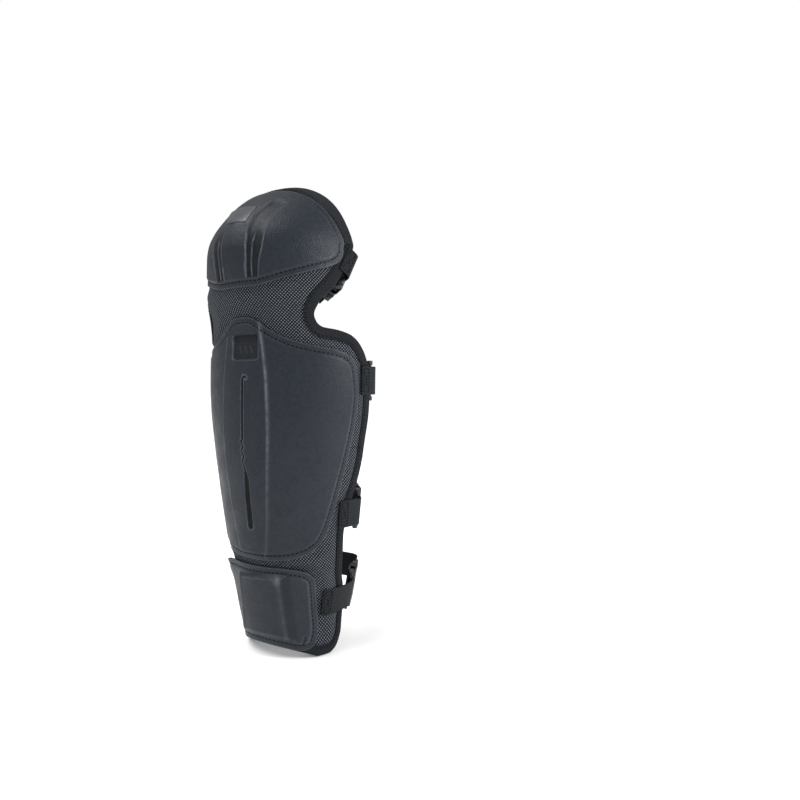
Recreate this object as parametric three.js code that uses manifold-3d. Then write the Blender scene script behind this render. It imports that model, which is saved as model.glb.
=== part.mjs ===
// Knee-and-shin guard: three moulded shells on a mesh-covered foam pad, with four buckled straps.
// Units are millimetres. +Z is up the leg, the front of the leg faces -Y, and the origin lies
// under the middle of the guard at the bottom hem.
//
// The pad is described by a surface with two coordinates:
//   t  angle round the leg in degrees, 0 at the front, positive towards +X
//   s  height up the leg in mm; above KNEE_LINE it is KNEE_LINE plus the dome angle in degrees
// Every layer is that surface moved outwards or inwards along its normal.
import * as THREE from "three";
import Module from "manifold-3d";

const wasm = await Module();
wasm.setup();

// ---- sizes -------------------------------------------------------------------------------
const KNEE_LINE = 420;
// Moves the finished guard so that the origin lies under the middle of its outline.
const FRAME_SHIFT = [0, 5.85, 0];
const GAP = 0.3;

// Layers of the pad, measured along the surface normal.
const COVER = [-1.5, 0];
const FOAM = [-10, -1.8];
const LINING = [-11.5, -10.3];
const SHELL = [2.6, 5.2];
const BINDING_WIDTH = 10;

// Half width and front depth of the leg space at each height, and the profile of the knee dome.
const halfWidth = smooth([
  [0, 52], [48, 56], [81, 63], [111, 70], [135, 74], [180, 79.5], [221, 85.5], [258, 91.5],
  [290, 93.5], [325, 93], [352, 95], [374, 94], [400, 88], [425, 85],
]);
const frontDepth = smooth([
  [0, 54.5], [48, 61], [111, 72], [135, 75.5], [180, 83], [221, 87], [258, 88], [290, 87.5],
  [330, 87], [352, 90.5], [372, 96.5], [390, 100], [405, 102.5], [420, 103.5],
]);
const domeForward = smooth([[0, 103.5], [15, 100.5], [30, 93], [45, 81], [60, 62], [75, 37], [90, 13.5]]);
const domeRise = smooth([[0, 0], [15, 12.3], [30, 25], [45, 38.5], [60, 56], [75, 71], [90, 79]]);

// The hem arches over the instep: it is this much higher at the front than at the sides.
const HEM_ARCH = { rise: 13, halfAngle: 62, fadeHeight: 60 };

// Edge of the pad: height and the angle the pad reaches on each side.
const PAD_EDGE = [
  [3, 79], [6, 85.5], [11, 90.5], [22, 95], [45, 95], [68, 89], [90, 81], [110, 78], [132, 76],
  [158, 80], [182, 86], [210, 89.5], [245, 89.5], [280, 88.5], [303, 86], [315, 82.5], [325, 77],
  [331, 71], [335, 62], [338, 50], [344, 45.5], [352, 44], [366, 48.5], [380, 58.5], [392, 65.5],
  [406, 72.5], [420, 77], [434, 78.5], [450, 78], [463, 76.2], [474, 73], [481, 69], [487.5, 63], [493.5, 54.5],
  [498, 45.5], [501, 35], [503, 20],
];

const SHIN_SHELL_EDGE = [
  [105.5, 16], [107, 29], [110, 39], [114, 47], [125, 57], [148, 64], [181, 70], [221, 75],
  [250, 76.5], [270, 77], [293, 75.5], [305, 74], [312, 70], [315.5, 66], [319, 58], [322, 46],
  [327, 33], [333, 24], [339, 17.5], [346, 12], [350, 8], [352, 4],
];
const KNEE_SHELL_EDGE = [
  [380.5, 14], [383, 22], [386, 29], [393, 46], [400, 61], [406.5, 68], [416, 71], [433, 71.5],
  [449, 70], [462, 66.5], [474, 59], [482, 48], [486.5, 36], [489, 20],
];
const ANKLE_SHELL_EDGE = [
  [2, 38], [4, 46], [8, 53], [15, 58.5], [31, 61], [52, 59], [76, 55.5], [88, 52.5], [94.5, 47],
  [98, 38], [99, 25],
];

// Bend lines. Each is a wedge-shaped slot in the pad, narrowest at the front where it hinges.
const KNEE_BEND = { y: -100, z: 366, slot: 2.2, opening: 13 };
const ANKLE_BEND = { y: -74, z: 101, slot: 1.6, opening: 4.5 };

// Straps: webbing and side-release buckles.
const WEBBING = { width: 29, thickness: 1.5, lift: 3.3 };
const BUCKLE = {
  width: 42, thickness: 9, socket: 26, block: 5, tail: 8.7, travel: 20,
  cavityWidth: 33, cavityThickness: 6, wall: 3, bar: 3, slot: 5.6,
};
// Straps below the knee: middle height, angle of the sewn end, how far the tab runs on past the
// edge of the pad before it turns back, the way it then heads, and the length of loose tail.
const STRAPS = [
  { name: "calf", z: 288.5, start: 79, drop: 9, heading: [-0.82, 0.572], tail: 36 },
  { name: "mid", z: 152, start: 70, drop: 14, heading: [-0.62, 0.785], tail: 36 },
  { name: "ankle", z: 59, start: 63, drop: 9, heading: [-0.42, 0.908], tail: 36 },
];
// The knee strap leaves the corner of the knee pad on a slant, then turns in behind the knee.
const KNEE_STRAP = {
  name: "knee", angle: 74, height: 407, across: [0, 0.566, 0.824], drop: 8, turn: 3, tail: 30,
};

// ---- colours -----------------------------------------------------------------------------
const FINISH = {
  shell: { color: 0x3a3d43, roughness: 0.55, metalness: 0 },
  mesh: { color: 0x2c2e31, roughness: 0.95, metalness: 0 },
  foam: { color: 0x222325, roughness: 0.95, metalness: 0 },
  lining: { color: 0x1d1e20, roughness: 0.95, metalness: 0 },
  tape: { color: 0x242629, roughness: 0.9, metalness: 0 },
  webbing: { color: 0x26282b, roughness: 0.9, metalness: 0 },
  buckle: { color: 0x2c2f33, roughness: 0.45, metalness: 0 },
};

// ---- curves and the pad surface ----------------------------------------------------------

// A smooth curve through [x, y] knots that never overshoots between them.
function smooth(knots) {
  const slope = [];
  for (let i = 0; i + 1 < knots.length; i++) {
    slope.push((knots[i + 1][1] - knots[i][1]) / (knots[i + 1][0] - knots[i][0]));
  }
  const tangent = knots.map((_, i) => {
    if (i === 0) return slope[0];
    if (i === knots.length - 1) return slope[i - 1];
    const product = slope[i - 1] * slope[i];
    return product <= 0 ? 0 : (2 * product) / (slope[i - 1] + slope[i]);
  });
  return (x) => {
    const last = knots.length - 1;
    if (x <= knots[0][0]) return knots[0][1];
    if (x >= knots[last][0]) return knots[last][1];
    let i = 0;
    while (knots[i + 1][0] < x) i++;
    const h = knots[i + 1][0] - knots[i][0];
    const u = (x - knots[i][0]) / h;
    const a = (1 + 2 * u) * (1 - u) * (1 - u);
    const b = u * (1 - u) * (1 - u) * h;
    const c = u * u * (3 - 2 * u);
    const d = u * u * (u - 1) * h;
    return a * knots[i][1] + b * tangent[i] + c * knots[i + 1][1] + d * tangent[i + 1];
  };
}

function surfacePoint(t, s) {
  const angle = THREE.MathUtils.degToRad(t);
  const below = Math.min(s, KNEE_LINE);
  const x = halfWidth(below) * Math.sin(angle);
  if (s > KNEE_LINE) {
    const dome = s - KNEE_LINE;
    const cos = Math.cos(angle);
    return new THREE.Vector3(x, -domeForward(dome) * cos, KNEE_LINE + domeRise(dome) * cos);
  }
  const fade = Math.max(0, 1 - s / HEM_ARCH.fadeHeight);
  const arch = Math.max(0, 1 - (t / HEM_ARCH.halfAngle) ** 2);
  return new THREE.Vector3(x, -frontDepth(below) * Math.cos(angle), s + HEM_ARCH.rise * arch * fade);
}

function surfaceSteps(t, s) {
  const step = 0.5;
  const across = surfacePoint(t + step, s).sub(surfacePoint(t - step, s));
  const up = surfacePoint(t, s + step).sub(surfacePoint(t, s - step));
  return { across, up };
}

function surfaceNormal(t, s) {
  const { across, up } = surfaceSteps(t, s);
  return across.cross(up).normalize();
}

function layerPoint(t, s, offset) {
  return surfacePoint(t, s).addScaledVector(surfaceNormal(t, s), offset);
}

// Moves along the surface from (t, s) by `distance` mm in the surface direction (dt, ds).
function stepInside(t, s, direction, distance) {
  const { across, up } = surfaceSteps(t, s);
  const perDegree = across.length();
  const perStep = up.length();
  return [t + (direction[0] * distance) / perDegree, s + (direction[1] * distance) / perStep];
}

// ---- solids ------------------------------------------------------------------------------

function solid(points, faces) {
  const vertProperties = new Float32Array(points.length * 3);
  points.forEach((p, i) => vertProperties.set([p.x, p.y, p.z], i * 3));
  const triVerts = new Uint32Array(faces.flat());
  return new wasm.Manifold(new wasm.Mesh({ numProp: 3, vertProperties, triVerts }));
}

// A closed solid between rings of points; the first and last ring are closed off.
function loft(rings) {
  const n = rings[0].length;
  const points = rings.flat();
  const faces = [];
  for (let r = 0; r + 1 < rings.length; r++) {
    for (let k = 0; k < n; k++) {
      const a = r * n + k;
      const b = r * n + ((k + 1) % n);
      faces.push([a, b, b + n], [a, b + n, a + n]);
    }
  }
  const capAt = (ring, flip) => {
    const base = ring * n;
    const contour = flattened(rings[ring]);
    for (const [i, j, k] of THREE.ShapeUtils.triangulateShape(contour, [])) {
      faces.push(flip ? [base + k, base + j, base + i] : [base + i, base + j, base + k]);
    }
  };
  capAt(0, true);
  capAt(rings.length - 1, false);
  return positive(points, faces);
}

// Ring corners written in the plane of the ring, so that its end can be triangulated.
function flattened(ring) {
  const centre = ring.reduce((sum, p) => sum.add(p), new THREE.Vector3()).divideScalar(ring.length);
  const normal = new THREE.Vector3();
  ring.forEach((p, i) => {
    const q = ring[(i + 1) % ring.length];
    normal.add(p.clone().sub(centre).cross(q.clone().sub(centre)));
  });
  normal.normalize();
  const u = ring[1].clone().sub(ring[0]).normalize();
  const v = normal.clone().cross(u);
  return ring.map((p) => new THREE.Vector2(p.clone().sub(centre).dot(u), p.clone().sub(centre).dot(v)));
}

// Builds the solid with its faces pointing outwards.
function positive(points, faces) {
  let volume = 0;
  for (const [i, j, k] of faces) volume += points[i].dot(points[j].clone().cross(points[k]));
  return solid(points, volume > 0 ? faces : faces.map(([i, j, k]) => [k, j, i]));
}

// Part of one layer: rows of [s, tLow, tHigh], split into `columns` across.
function patch(rows, columns, inner, outer) {
  const points = [];
  const offset = (value, t, s) => (typeof value === "function" ? value(t, s) : value);
  for (const [s, low, high] of rows) {
    for (let c = 0; c <= columns; c++) {
      const t = low + ((high - low) * c) / columns;
      points.push(layerPoint(t, s, offset(outer, t, s)), layerPoint(t, s, offset(inner, t, s)));
    }
  }
  const at = (r, c, side) => 2 * (r * (columns + 1) + c) + side;
  const faces = [];
  const quad = (a, b, c, d) => faces.push([a, b, c], [a, c, d]);
  const last = rows.length - 1;
  for (let r = 0; r < last; r++) {
    for (let c = 0; c < columns; c++) {
      quad(at(r, c, 0), at(r, c + 1, 0), at(r + 1, c + 1, 0), at(r + 1, c, 0));
      quad(at(r, c, 1), at(r + 1, c, 1), at(r + 1, c + 1, 1), at(r, c + 1, 1));
    }
    quad(at(r, 0, 1), at(r, 0, 0), at(r + 1, 0, 0), at(r + 1, 0, 1));
    quad(at(r, columns, 0), at(r, columns, 1), at(r + 1, columns, 1), at(r + 1, columns, 0));
  }
  for (let c = 0; c < columns; c++) {
    quad(at(0, c, 1), at(0, c + 1, 1), at(0, c + 1, 0), at(0, c, 0));
    quad(at(last, c, 0), at(last, c + 1, 0), at(last, c + 1, 1), at(last, c, 1));
  }
  return positive(points, faces);
}

function symmetricRows(edge) {
  return edge.map(([s, t]) => [s, -t, t]);
}

function layer(range) {
  return patch(symmetricRows(PAD_EDGE), 14, range[0], range[1]);
}

// The half space above (side = 1) or below (side = -1) one face of a bend slot.
function beyondBend(shape, bend, side, margin) {
  const tilt = THREE.MathUtils.degToRad(bend.opening);
  const normal = [0, -Math.sin(tilt), side * Math.cos(tilt)];
  const along = normal[1] * bend.y + normal[2] * (bend.z + side * bend.slot);
  return shape.trimByPlane(normal, along + margin);
}

// What is left inside a bend slot, kept clear of both faces.
function insideBend(shape, bend) {
  const tilt = THREE.MathUtils.degToRad(bend.opening);
  let rest = shape;
  for (const side of [1, -1]) {
    const normal = [0, Math.sin(tilt), -side * Math.cos(tilt)];
    const along = normal[1] * bend.y + normal[2] * (bend.z + side * bend.slot);
    rest = rest.trimByPlane(normal, along + GAP);
  }
  return rest;
}

const kneePart = (shape) => beyondBend(shape, KNEE_BEND, 1, 0);
const anklePart = (shape) => beyondBend(shape, ANKLE_BEND, -1, 0);
const shinPart = (shape) => beyondBend(beyondBend(shape, KNEE_BEND, -1, 0), ANKLE_BEND, 1, 0);

// ---- binding tape ------------------------------------------------------------------------

// Section of the tape: distance in from the edge of the pad, and offset from the pad surface.
const TAPE_SECTION = [
  [BINDING_WIDTH, 0.9], [BINDING_WIDTH, 2.1], [-2.9, 2.1], [-2.9, -13.7],
  [BINDING_WIDTH - 3, -13.7], [BINDING_WIDTH - 3, -12.5], [-1.2, -12.5], [-1.2, 0.9],
];

function tape(path, width) {
  const rings = path.map(([t, s], i) => {
    const before = path[Math.max(0, i - 1)];
    const after = path[Math.min(path.length - 1, i + 1)];
    const { across, up } = surfaceSteps(t, s);
    const alongT = (after[0] - before[0]) * across.length();
    const alongS = (after[1] - before[1]) * up.length();
    const length = Math.hypot(alongT, alongS);
    const inward = [-alongS / length, alongT / length];
    return TAPE_SECTION.map(([d, offset]) => {
      const reach = d > 0 ? Math.min(d, width(s, t)) : d;
      const [tt, ss] = stepInside(t, s, inward, reach);
      return layerPoint(tt, ss, offset);
    });
  });
  return loft(rings);
}

// The pad edge from height `from` to height `to` on the +X side, as [t, s] points.
function edgePath(from, to) {
  return PAD_EDGE.filter(([s]) => s >= from && s <= to).map(([s, t]) => [t, s]);
}

const mirrored = (path) => path.map(([t, s]) => [-t, s]).reverse();
const tapeWidth = (s) => (s > 470 ? 5 : s > 325 && s < 352 ? 8 : BINDING_WIDTH);

function bindingTapes() {
  const top = [[20, 503], [10, 503.5], [0, 503.7], [-10, 503.5], [-20, 503]];
  const hem = [[79, 3], [70, 3], [62, 3], [54, 3], [44, 3], [30, 3], [15, 3], [0, 3]];
  const upper = edgePath(345, 502);
  const side = edgePath(92, 365);
  const lower = edgePath(4, 112);
  const knee = tape([...upper, ...top, ...mirrored(upper)], tapeWidth);
  const shinRight = tape(side, tapeWidth);
  const shinLeft = tape(mirrored(side), tapeWidth);
  const lowerPath = [...hem.slice(0, -1).map(([t, s]) => [-t, s]), ...hem.slice().reverse()];
  const ankle = tape([...mirrored(lower), ...lowerPath, ...lower], tapeWidth);
  return {
    knee: kneePart(knee),
    shinRight: shinPart(shinRight),
    shinLeft: shinPart(shinLeft),
    ankle: anklePart(ankle),
  };
}

// ---- shells ------------------------------------------------------------------------------

function shellBody(edge, columns, outer) {
  return patch(symmetricRows(edge), columns, SHELL[0], outer);
}

function shinShell() {
  const ridge = smooth([[106, 12.5], [165, 17], [222, 18.5], [288, 16.5], [352, 11]]);
  const panel = (t, s) => SHELL[1] + (Math.abs(t) < ridge(s) + 1 ? 1.2 : 0);
  const body = shellBody(SHIN_SHELL_EDGE, 22, panel);
  const sunk = patch([[308, -10.5, 10.5], [322, -11, 11], [335, -10.5, 10.5]], 4, 5, 9);
  const slot = patch([[131, -1, 5.5], [134, -2, 6.5], [190, -1.5, 5], [197, 0, 3.5]], 2, 4, 9);
  const line = patch([[200, -0.7, 1], [250, -0.7, 1], [291, -0.7, 1]], 1, 4.8, 9);
  return body.subtract(sunk).subtract(slot).subtract(line);
}

function kneeShell() {
  const body = shellBody(KNEE_SHELL_EDGE, 20, SHELL[1] + 0.6);
  let shape = body;
  for (const side of [1, -1]) {
    const rows = [
      [389, 11, 15], [400, 10, 16], [412, 10.5, 17], [424, 11, 19], [436, 12, 22],
      [450, 13, 23], [462, 17, 24], [472, 22, 25],
    ].map(([s, low, high]) => (side > 0 ? [s, low, high] : [s, -high, -low]));
    shape = shape.subtract(patch(rows, 2, 4.3, 9));
  }
  return shape;
}

function ankleShell() {
  const body = shellBody(ANKLE_SHELL_EDGE, 16, SHELL[1]);
  const panel = patch([[8, -25, 25], [20, -25.5, 25.5], [50, -24, 24], [84, -21, 21]], 8, 3.6, 7.8);
  return body.add(panel);
}

// ---- straps ------------------------------------------------------------------------------

// A flat band through stations; each station has its two edges and the direction of its face.
function ribbon(stations, thickness) {
  const half = thickness / 2;
  return loft(stations.map(({ low, high, face }) => [
    low.clone().addScaledVector(face, half),
    high.clone().addScaledVector(face, half),
    high.clone().addScaledVector(face, -half),
    low.clone().addScaledVector(face, -half),
  ]));
}

// Where the strap leaves the edge of the pad: origin, u along it, v across it, w outwards.
function strapFrame(strap) {
  if (strap === KNEE_STRAP) return kneeStrapFrame();
  const half = WEBBING.width / 2;
  const padEdge = smooth(PAD_EDGE);
  const edge = Math.max(padEdge(strap.z - half), padEdge(strap.z), padEdge(strap.z + half)) + 0.5;
  const low = layerPoint(edge, strap.z - half, WEBBING.lift);
  const high = layerPoint(edge, strap.z + half, WEBBING.lift);
  const v = high.clone().sub(low).normalize();
  const heading = new THREE.Vector3(strap.heading[0], strap.heading[1], 0);
  const u = heading.addScaledVector(v, -heading.dot(v)).normalize();
  const leave = layerPoint(edge, strap.z, 0).sub(layerPoint(edge - 2, strap.z, 0)).normalize();
  return { origin: low.add(high).multiplyScalar(0.5), u, v, w: u.clone().cross(v), leave, edge };
}

function kneeStrapFrame() {
  const { angle, height, turn } = KNEE_STRAP;
  const origin = layerPoint(angle, height, WEBBING.lift);
  const normal = surfaceNormal(angle, height);
  const v = new THREE.Vector3(...KNEE_STRAP.across);
  v.addScaledVector(normal, -v.dot(normal)).normalize();
  const leave = v.clone().cross(normal).normalize();
  const u = leave.clone().addScaledVector(normal, -turn).normalize();
  return { origin, u, v, w: u.clone().cross(v), leave, edge: null };
}

// A placed copy of a shape drawn with u along x, v along y and w along z.
function placed(shape, origin, frame) {
  const { u, v, w } = frame;
  return shape.transform([
    u.x, u.y, u.z, 0, v.x, v.y, v.z, 0, w.x, w.y, w.z, 0, origin.x, origin.y, origin.z, 1,
  ]);
}

// A box from its low corner to its high corner.
function box(low, high) {
  const corner = (i) => new THREE.Vector3(
    i & 1 ? high[0] : low[0], i & 2 ? high[1] : low[1], i & 4 ? high[2] : low[2]);
  const points = [0, 1, 2, 3, 4, 5, 6, 7].map(corner);
  const faces = [
    [0, 2, 3], [0, 3, 1], [4, 5, 7], [4, 7, 6], [0, 1, 5], [0, 5, 4],
    [2, 6, 7], [2, 7, 3], [0, 4, 6], [0, 6, 2], [1, 3, 7], [1, 7, 5],
  ];
  return positive(points, faces);
}

// The plan outline (u, v) raised through the given thickness (w).
function plate(outline, low, high) {
  const ring = (w) => outline.map(([u, v]) => new THREE.Vector3(u, v, w));
  return loft([ring(low), ring(high)]);
}

function socketShape() {
  const half = BUCKLE.width / 2;
  const thick = BUCKLE.thickness / 2;
  const back = BUCKLE.bar + BUCKLE.slot;
  const mouth = BUCKLE.socket;
  const ends = [[0, -half + 3], [3, -half], [back, -half], [back, half], [3, half], [0, half - 3]];
  const frame = plate(ends, -2.4, 2.4);
  const barTop = box([-1, -16.3, 1], [back, 16.3, 9]);
  const barUnder = box([-1, -16.3, -9], [back, 16.3, -1]);
  const body = plate([
    [back, -half], [mouth - 3, -half], [mouth, -half + 1.5], [mouth, half - 1.5], [mouth - 3, half], [back, half],
  ], -thick, thick);
  const slot = box([BUCKLE.bar, -16.3, -9], [back, 16.3, 9]);
  const cavity = box([back + BUCKLE.wall, -BUCKLE.cavityWidth / 2, -3], [mouth + 9, BUCKLE.cavityWidth / 2, 3]);
  const window = box([back + BUCKLE.wall, -half - 9, -2.7], [mouth + 9, half + 9, 2.7]);
  return frame.subtract(barTop).subtract(barUnder).add(body).subtract(slot).subtract(cavity).subtract(window);
}

function plugShape() {
  const half = BUCKLE.width / 2;
  const start = BUCKLE.socket + GAP;
  const end = start + BUCKLE.block;
  const tail = end + BUCKLE.tail;
  const block = plate([
    [start, -half + 1], [end, -half], [end, half], [start, half - 1],
  ], -BUCKLE.thickness / 2, BUCKLE.thickness / 2);
  const guide = box([13.5, -3, -2.2], [start + 1, 3, 2.2]);
  let shape = block.add(guide);
  for (const side of [-1, 1]) {
    const low = side > 0 ? 16.8 : -half;
    const high = side > 0 ? half : -16.8;
    shape = shape.add(box([end - 1, low, -2.4], [tail, high, 3.9]));
  }
  for (const u of [end + 1.6, tail - 2.4]) shape = shape.add(box([u, -17.5, 2.3], [u + 2.4, 17.5, 3.9]));
  return shape;
}

// One latch finger; side is +1 or -1 across the buckle.
function prongShape(side) {
  const outline = [
    [13, 9.8], [26, 10.6], [26, 13.4], [21.5, 14], [19.5, 19.6], [15.5, 19.6], [13, 15],
  ].map(([u, v]) => [u, side * v]);
  return plate(outline, -2.3, 2.3);
}

function strapPieces(strap) {
  const frame = strapFrame(strap);
  const { origin, u, v, w, leave, edge } = frame;
  const half = WEBBING.width / 2;
  const station = (point, face) => ({
    low: point.clone().addScaledVector(v, -half), high: point.clone().addScaledVector(v, half), face,
  });

  // Stations on the pad, from the sewn end to the edge of the pad.
  const onPad = [];
  if (edge === null) {
    onPad.push(station(origin.clone().addScaledVector(leave, -7), leave.clone().cross(v)));
    onPad.push(station(origin, leave.clone().cross(v)));
  } else {
    const steps = Math.max(2, Math.round((edge - strap.start) / 7));
    for (let i = 0; i <= steps; i++) {
      const t = strap.start + ((edge - strap.start) * i) / steps;
      onPad.push({
        low: layerPoint(t, strap.z - half, WEBBING.lift),
        high: layerPoint(t, strap.z + half, WEBBING.lift),
        face: surfaceNormal(t, strap.z),
      });
    }
  }
  const corner = origin.clone().addScaledVector(leave, strap.drop);
  const entry = corner.clone().addScaledVector(u, 6);
  const round = [
    station(corner.clone().lerp(origin, 0.25), leave.clone().cross(v)),
    station(corner.clone().lerp(entry, 0.25), leave.clone().lerp(u, 0.5).cross(v).normalize()),
  ];

  // The tab goes on once round the bar of the socket and is sewn to itself.
  const tab = [...onPad, ...round];
  const barCentre = entry.clone().addScaledVector(w, -2.9).addScaledVector(u, BUCKLE.bar / 2);
  for (const degrees of [90, 45, 0, -45, -90]) {
    const a = THREE.MathUtils.degToRad(degrees);
    const face = u.clone().multiplyScalar(Math.cos(a)).addScaledVector(w, Math.sin(a));
    tab.push(station(barCentre.clone().addScaledVector(face, 2.9), face));
  }
  tab.push(station(barCentre.clone().addScaledVector(w, -2.9).addScaledVector(u, -5), w.clone().negate()));

  const base = barCentre.clone().addScaledVector(u, -BUCKLE.bar / 2);
  const put = (shape) => placed(shape, base, frame);
  const plugEnd = BUCKLE.socket + GAP + BUCKLE.block;
  const on = (distance, height) => base.clone().addScaledVector(u, distance).addScaledVector(w, height);

  // The tail of webbing that the plug carries, lying on the strap below it.
  const tailRun = [station(on(plugEnd + GAP, 1.15), w), station(on(plugEnd + strap.tail, 1.15), w)];
  const tailPiece = ribbon(tailRun, WEBBING.thickness);

  // The strap: straight under the tail, round the back of the leg and onto the far side of the pad.
  const loop = [
    station(on(plugEnd + BUCKLE.travel + 1, -1.15), w),
    station(on(plugEnd + 44, -1.15), w),
  ];
  const flip = (p) => new THREE.Vector3(-p.x, p.y, p.z);
  const turned = ({ low, high, face }) => ({ low: flip(low), high: flip(high), face: flip(face) });
  const across = new THREE.Vector3(-1, 0, 0);
  const bendEnd = on(plugEnd + 54, -1.15);
  const reach = Math.max(2, bendEnd.x - 7);
  for (const [mix, inward] of [[0.3, 0], [0.7, 0.6]]) {
    const direction = u.clone().lerp(across, mix).normalize();
    const tilted = v.clone().lerp(new THREE.Vector3(0, v.y, v.z), inward).normalize();
    const face = direction.clone().cross(tilted).normalize();
    const point = bendEnd.clone().addScaledVector(u, -4 + 6 * inward);
    point.addScaledVector(across, (bendEnd.x - reach) * inward);
    loop.push({
      low: point.clone().addScaledVector(tilted, -half), high: point.clone().addScaledVector(tilted, half), face,
    });
  }
  const farLoop = loop.slice(1).map(turned).reverse();
  const farTab = [...onPad, ...round].reverse().map(turned);
  const strapRibbon = ribbon([...loop, ...farLoop, ...farTab], WEBBING.thickness);

  return {
    tab: ribbon(tab, WEBBING.thickness),
    socket: put(socketShape()),
    plug: put(plugShape()),
    prong_upper: put(prongShape(1)),
    prong_lower: put(prongShape(-1)),
    tail: tailPiece,
    strap: strapRibbon,
  };
}

// ---- assembly ----------------------------------------------------------------------------

const guard = new THREE.Group();
guard.name = "knee_shin_guard";

function add(name, shape, finish) {
  const mesh = shape.translate(FRAME_SHIFT).getMesh();
  const geometry = new THREE.BufferGeometry();
  const positions = new Float32Array(mesh.triVerts.length * 3);
  mesh.triVerts.forEach((vertex, i) => {
    for (let axis = 0; axis < 3; axis++) {
      positions[3 * i + axis] = mesh.vertProperties[mesh.numProp * vertex + axis];
    }
  });
  geometry.setAttribute("position", new THREE.BufferAttribute(positions, 3));
  geometry.computeVertexNormals();
  const node = new THREE.Mesh(geometry, new THREE.MeshStandardMaterial(FINISH[finish]));
  node.name = name;
  guard.add(node);
}

const PAD_LAYERS = [["mesh_cover", COVER, "mesh"], ["foam_core", FOAM, "foam"], ["lining", LINING, "lining"]];
for (const [name, range, finish] of PAD_LAYERS) {
  const whole = layer(range);
  add(`knee_${name}`, kneePart(whole), finish);
  add(`shin_${name}`, shinPart(whole), finish);
  add(`ankle_${name}`, anklePart(whole), finish);
}

const bendFill = layer([-9, -0.2]);
add("knee_bend_bridge", insideBend(bendFill, KNEE_BEND), "mesh");
add("ankle_bend_bridge", insideBend(bendFill, ANKLE_BEND), "mesh");

const tapes = bindingTapes();
add("knee_binding", tapes.knee, "tape");
add("shin_binding_right", tapes.shinRight, "tape");
add("shin_binding_left", tapes.shinLeft, "tape");
add("ankle_binding", tapes.ankle, "tape");

add("knee_shell", kneeShell(), "shell");
add("shin_shell", shinShell(), "shell");
add("ankle_shell", ankleShell(), "shell");
const PATCH_ROWS = [[450, -10, 8], [460, -10.5, 8.5], [470, -11.5, 9.5]];
add("knee_patch", patch(PATCH_ROWS, 2, SHELL[1] + 1, SHELL[1] + 2), "tape");

for (const strap of [KNEE_STRAP, ...STRAPS]) {
  for (const [part, shape] of Object.entries(strapPieces(strap))) {
    const finish = ["tab", "tail", "strap"].includes(part) ? "webbing" : "buckle";
    add(`${strap.name}_${part}`, shape, finish);
  }
}

export default guard;
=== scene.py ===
"""Knee-and-shin guard: the looks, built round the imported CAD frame.

Lengths are in millimetres until a mesh is made, and metres after that. The pad is the same
surface as in the CAD: t is the angle round the leg in degrees, 0 at the front and positive
towards +X, and s is the height in mm, which above KNEE_LINE goes on as the dome's angle.
"""
import math

import bmesh
import bpy
import numpy as np
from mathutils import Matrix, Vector, kdtree
from numpy.linalg import norm


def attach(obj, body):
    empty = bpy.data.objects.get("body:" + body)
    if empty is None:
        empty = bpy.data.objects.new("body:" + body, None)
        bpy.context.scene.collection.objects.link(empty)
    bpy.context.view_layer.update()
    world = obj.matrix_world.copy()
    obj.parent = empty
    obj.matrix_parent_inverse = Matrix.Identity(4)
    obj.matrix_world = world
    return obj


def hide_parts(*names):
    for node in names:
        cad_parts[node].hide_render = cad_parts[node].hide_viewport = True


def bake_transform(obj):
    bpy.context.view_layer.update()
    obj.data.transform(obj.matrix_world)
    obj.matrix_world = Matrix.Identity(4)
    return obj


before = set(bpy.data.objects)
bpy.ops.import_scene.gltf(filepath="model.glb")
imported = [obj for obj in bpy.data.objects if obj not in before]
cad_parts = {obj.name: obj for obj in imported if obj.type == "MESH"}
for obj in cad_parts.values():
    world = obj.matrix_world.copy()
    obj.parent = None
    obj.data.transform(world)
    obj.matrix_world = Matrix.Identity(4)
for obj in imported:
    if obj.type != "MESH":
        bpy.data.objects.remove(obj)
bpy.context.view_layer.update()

# ---- sizes, as in the CAD ------------------------------------------------------------------
MM = 0.001
KNEE_LINE = 420
SHIFT_Y = 5.85
HALF_WIDTH = [
    [0, 52], [48, 56], [81, 63], [111, 70], [135, 74], [180, 79.5], [221, 85.5], [258, 91.5],
    [290, 93.5], [325, 93], [352, 95], [374, 94], [400, 88], [425, 85],
]
FRONT_DEPTH = [
    [0, 54.5], [48, 61], [111, 72], [135, 75.5], [180, 83], [221, 87], [258, 88], [290, 87.5],
    [330, 87], [352, 90.5], [372, 96.5], [390, 100], [405, 102.5], [420, 103.5],
]
DOME_FORWARD = [[0, 103.5], [15, 100.5], [30, 93], [45, 81], [60, 62], [75, 37], [90, 13.5]]
DOME_RISE = [[0, 0], [15, 12.3], [30, 25], [45, 38.5], [60, 56], [75, 71], [90, 79]]
ARCH_RISE, ARCH_ANGLE, ARCH_FADE = 13, 62, 60

# Outlines on the surface: height and the angle reached on each side.
PAD_EDGE = [
    [3, 79], [6, 85.5], [11, 90.5], [22, 95], [45, 95], [68, 89], [90, 81], [110, 78], [132, 76],
    [158, 80], [182, 86], [210, 89.5], [245, 89.5], [280, 88.5], [303, 86], [315, 82.5],
    [325, 77], [331, 71], [335, 62], [338, 50], [344, 45.5], [352, 44], [366, 48.5],
    [380, 58.5], [392, 65.5], [406, 72.5], [420, 77], [434, 78.5], [450, 78], [463, 76.2],
    [474, 73], [481, 69], [487.5, 63], [493.5, 54.5], [498, 45.5], [501, 35], [503, 20],
]
SHIN_SHELL_EDGE = [
    [105.5, 16], [107, 29], [110, 39], [114, 47], [125, 57], [148, 64], [181, 70], [221, 75],
    [250, 76.5], [270, 77], [293, 75.5], [305, 74], [312, 70], [315.5, 66], [319, 58],
    [322, 46], [327, 33], [333, 24], [339, 17.5], [346, 12], [350, 8], [352, 4],
]
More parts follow.
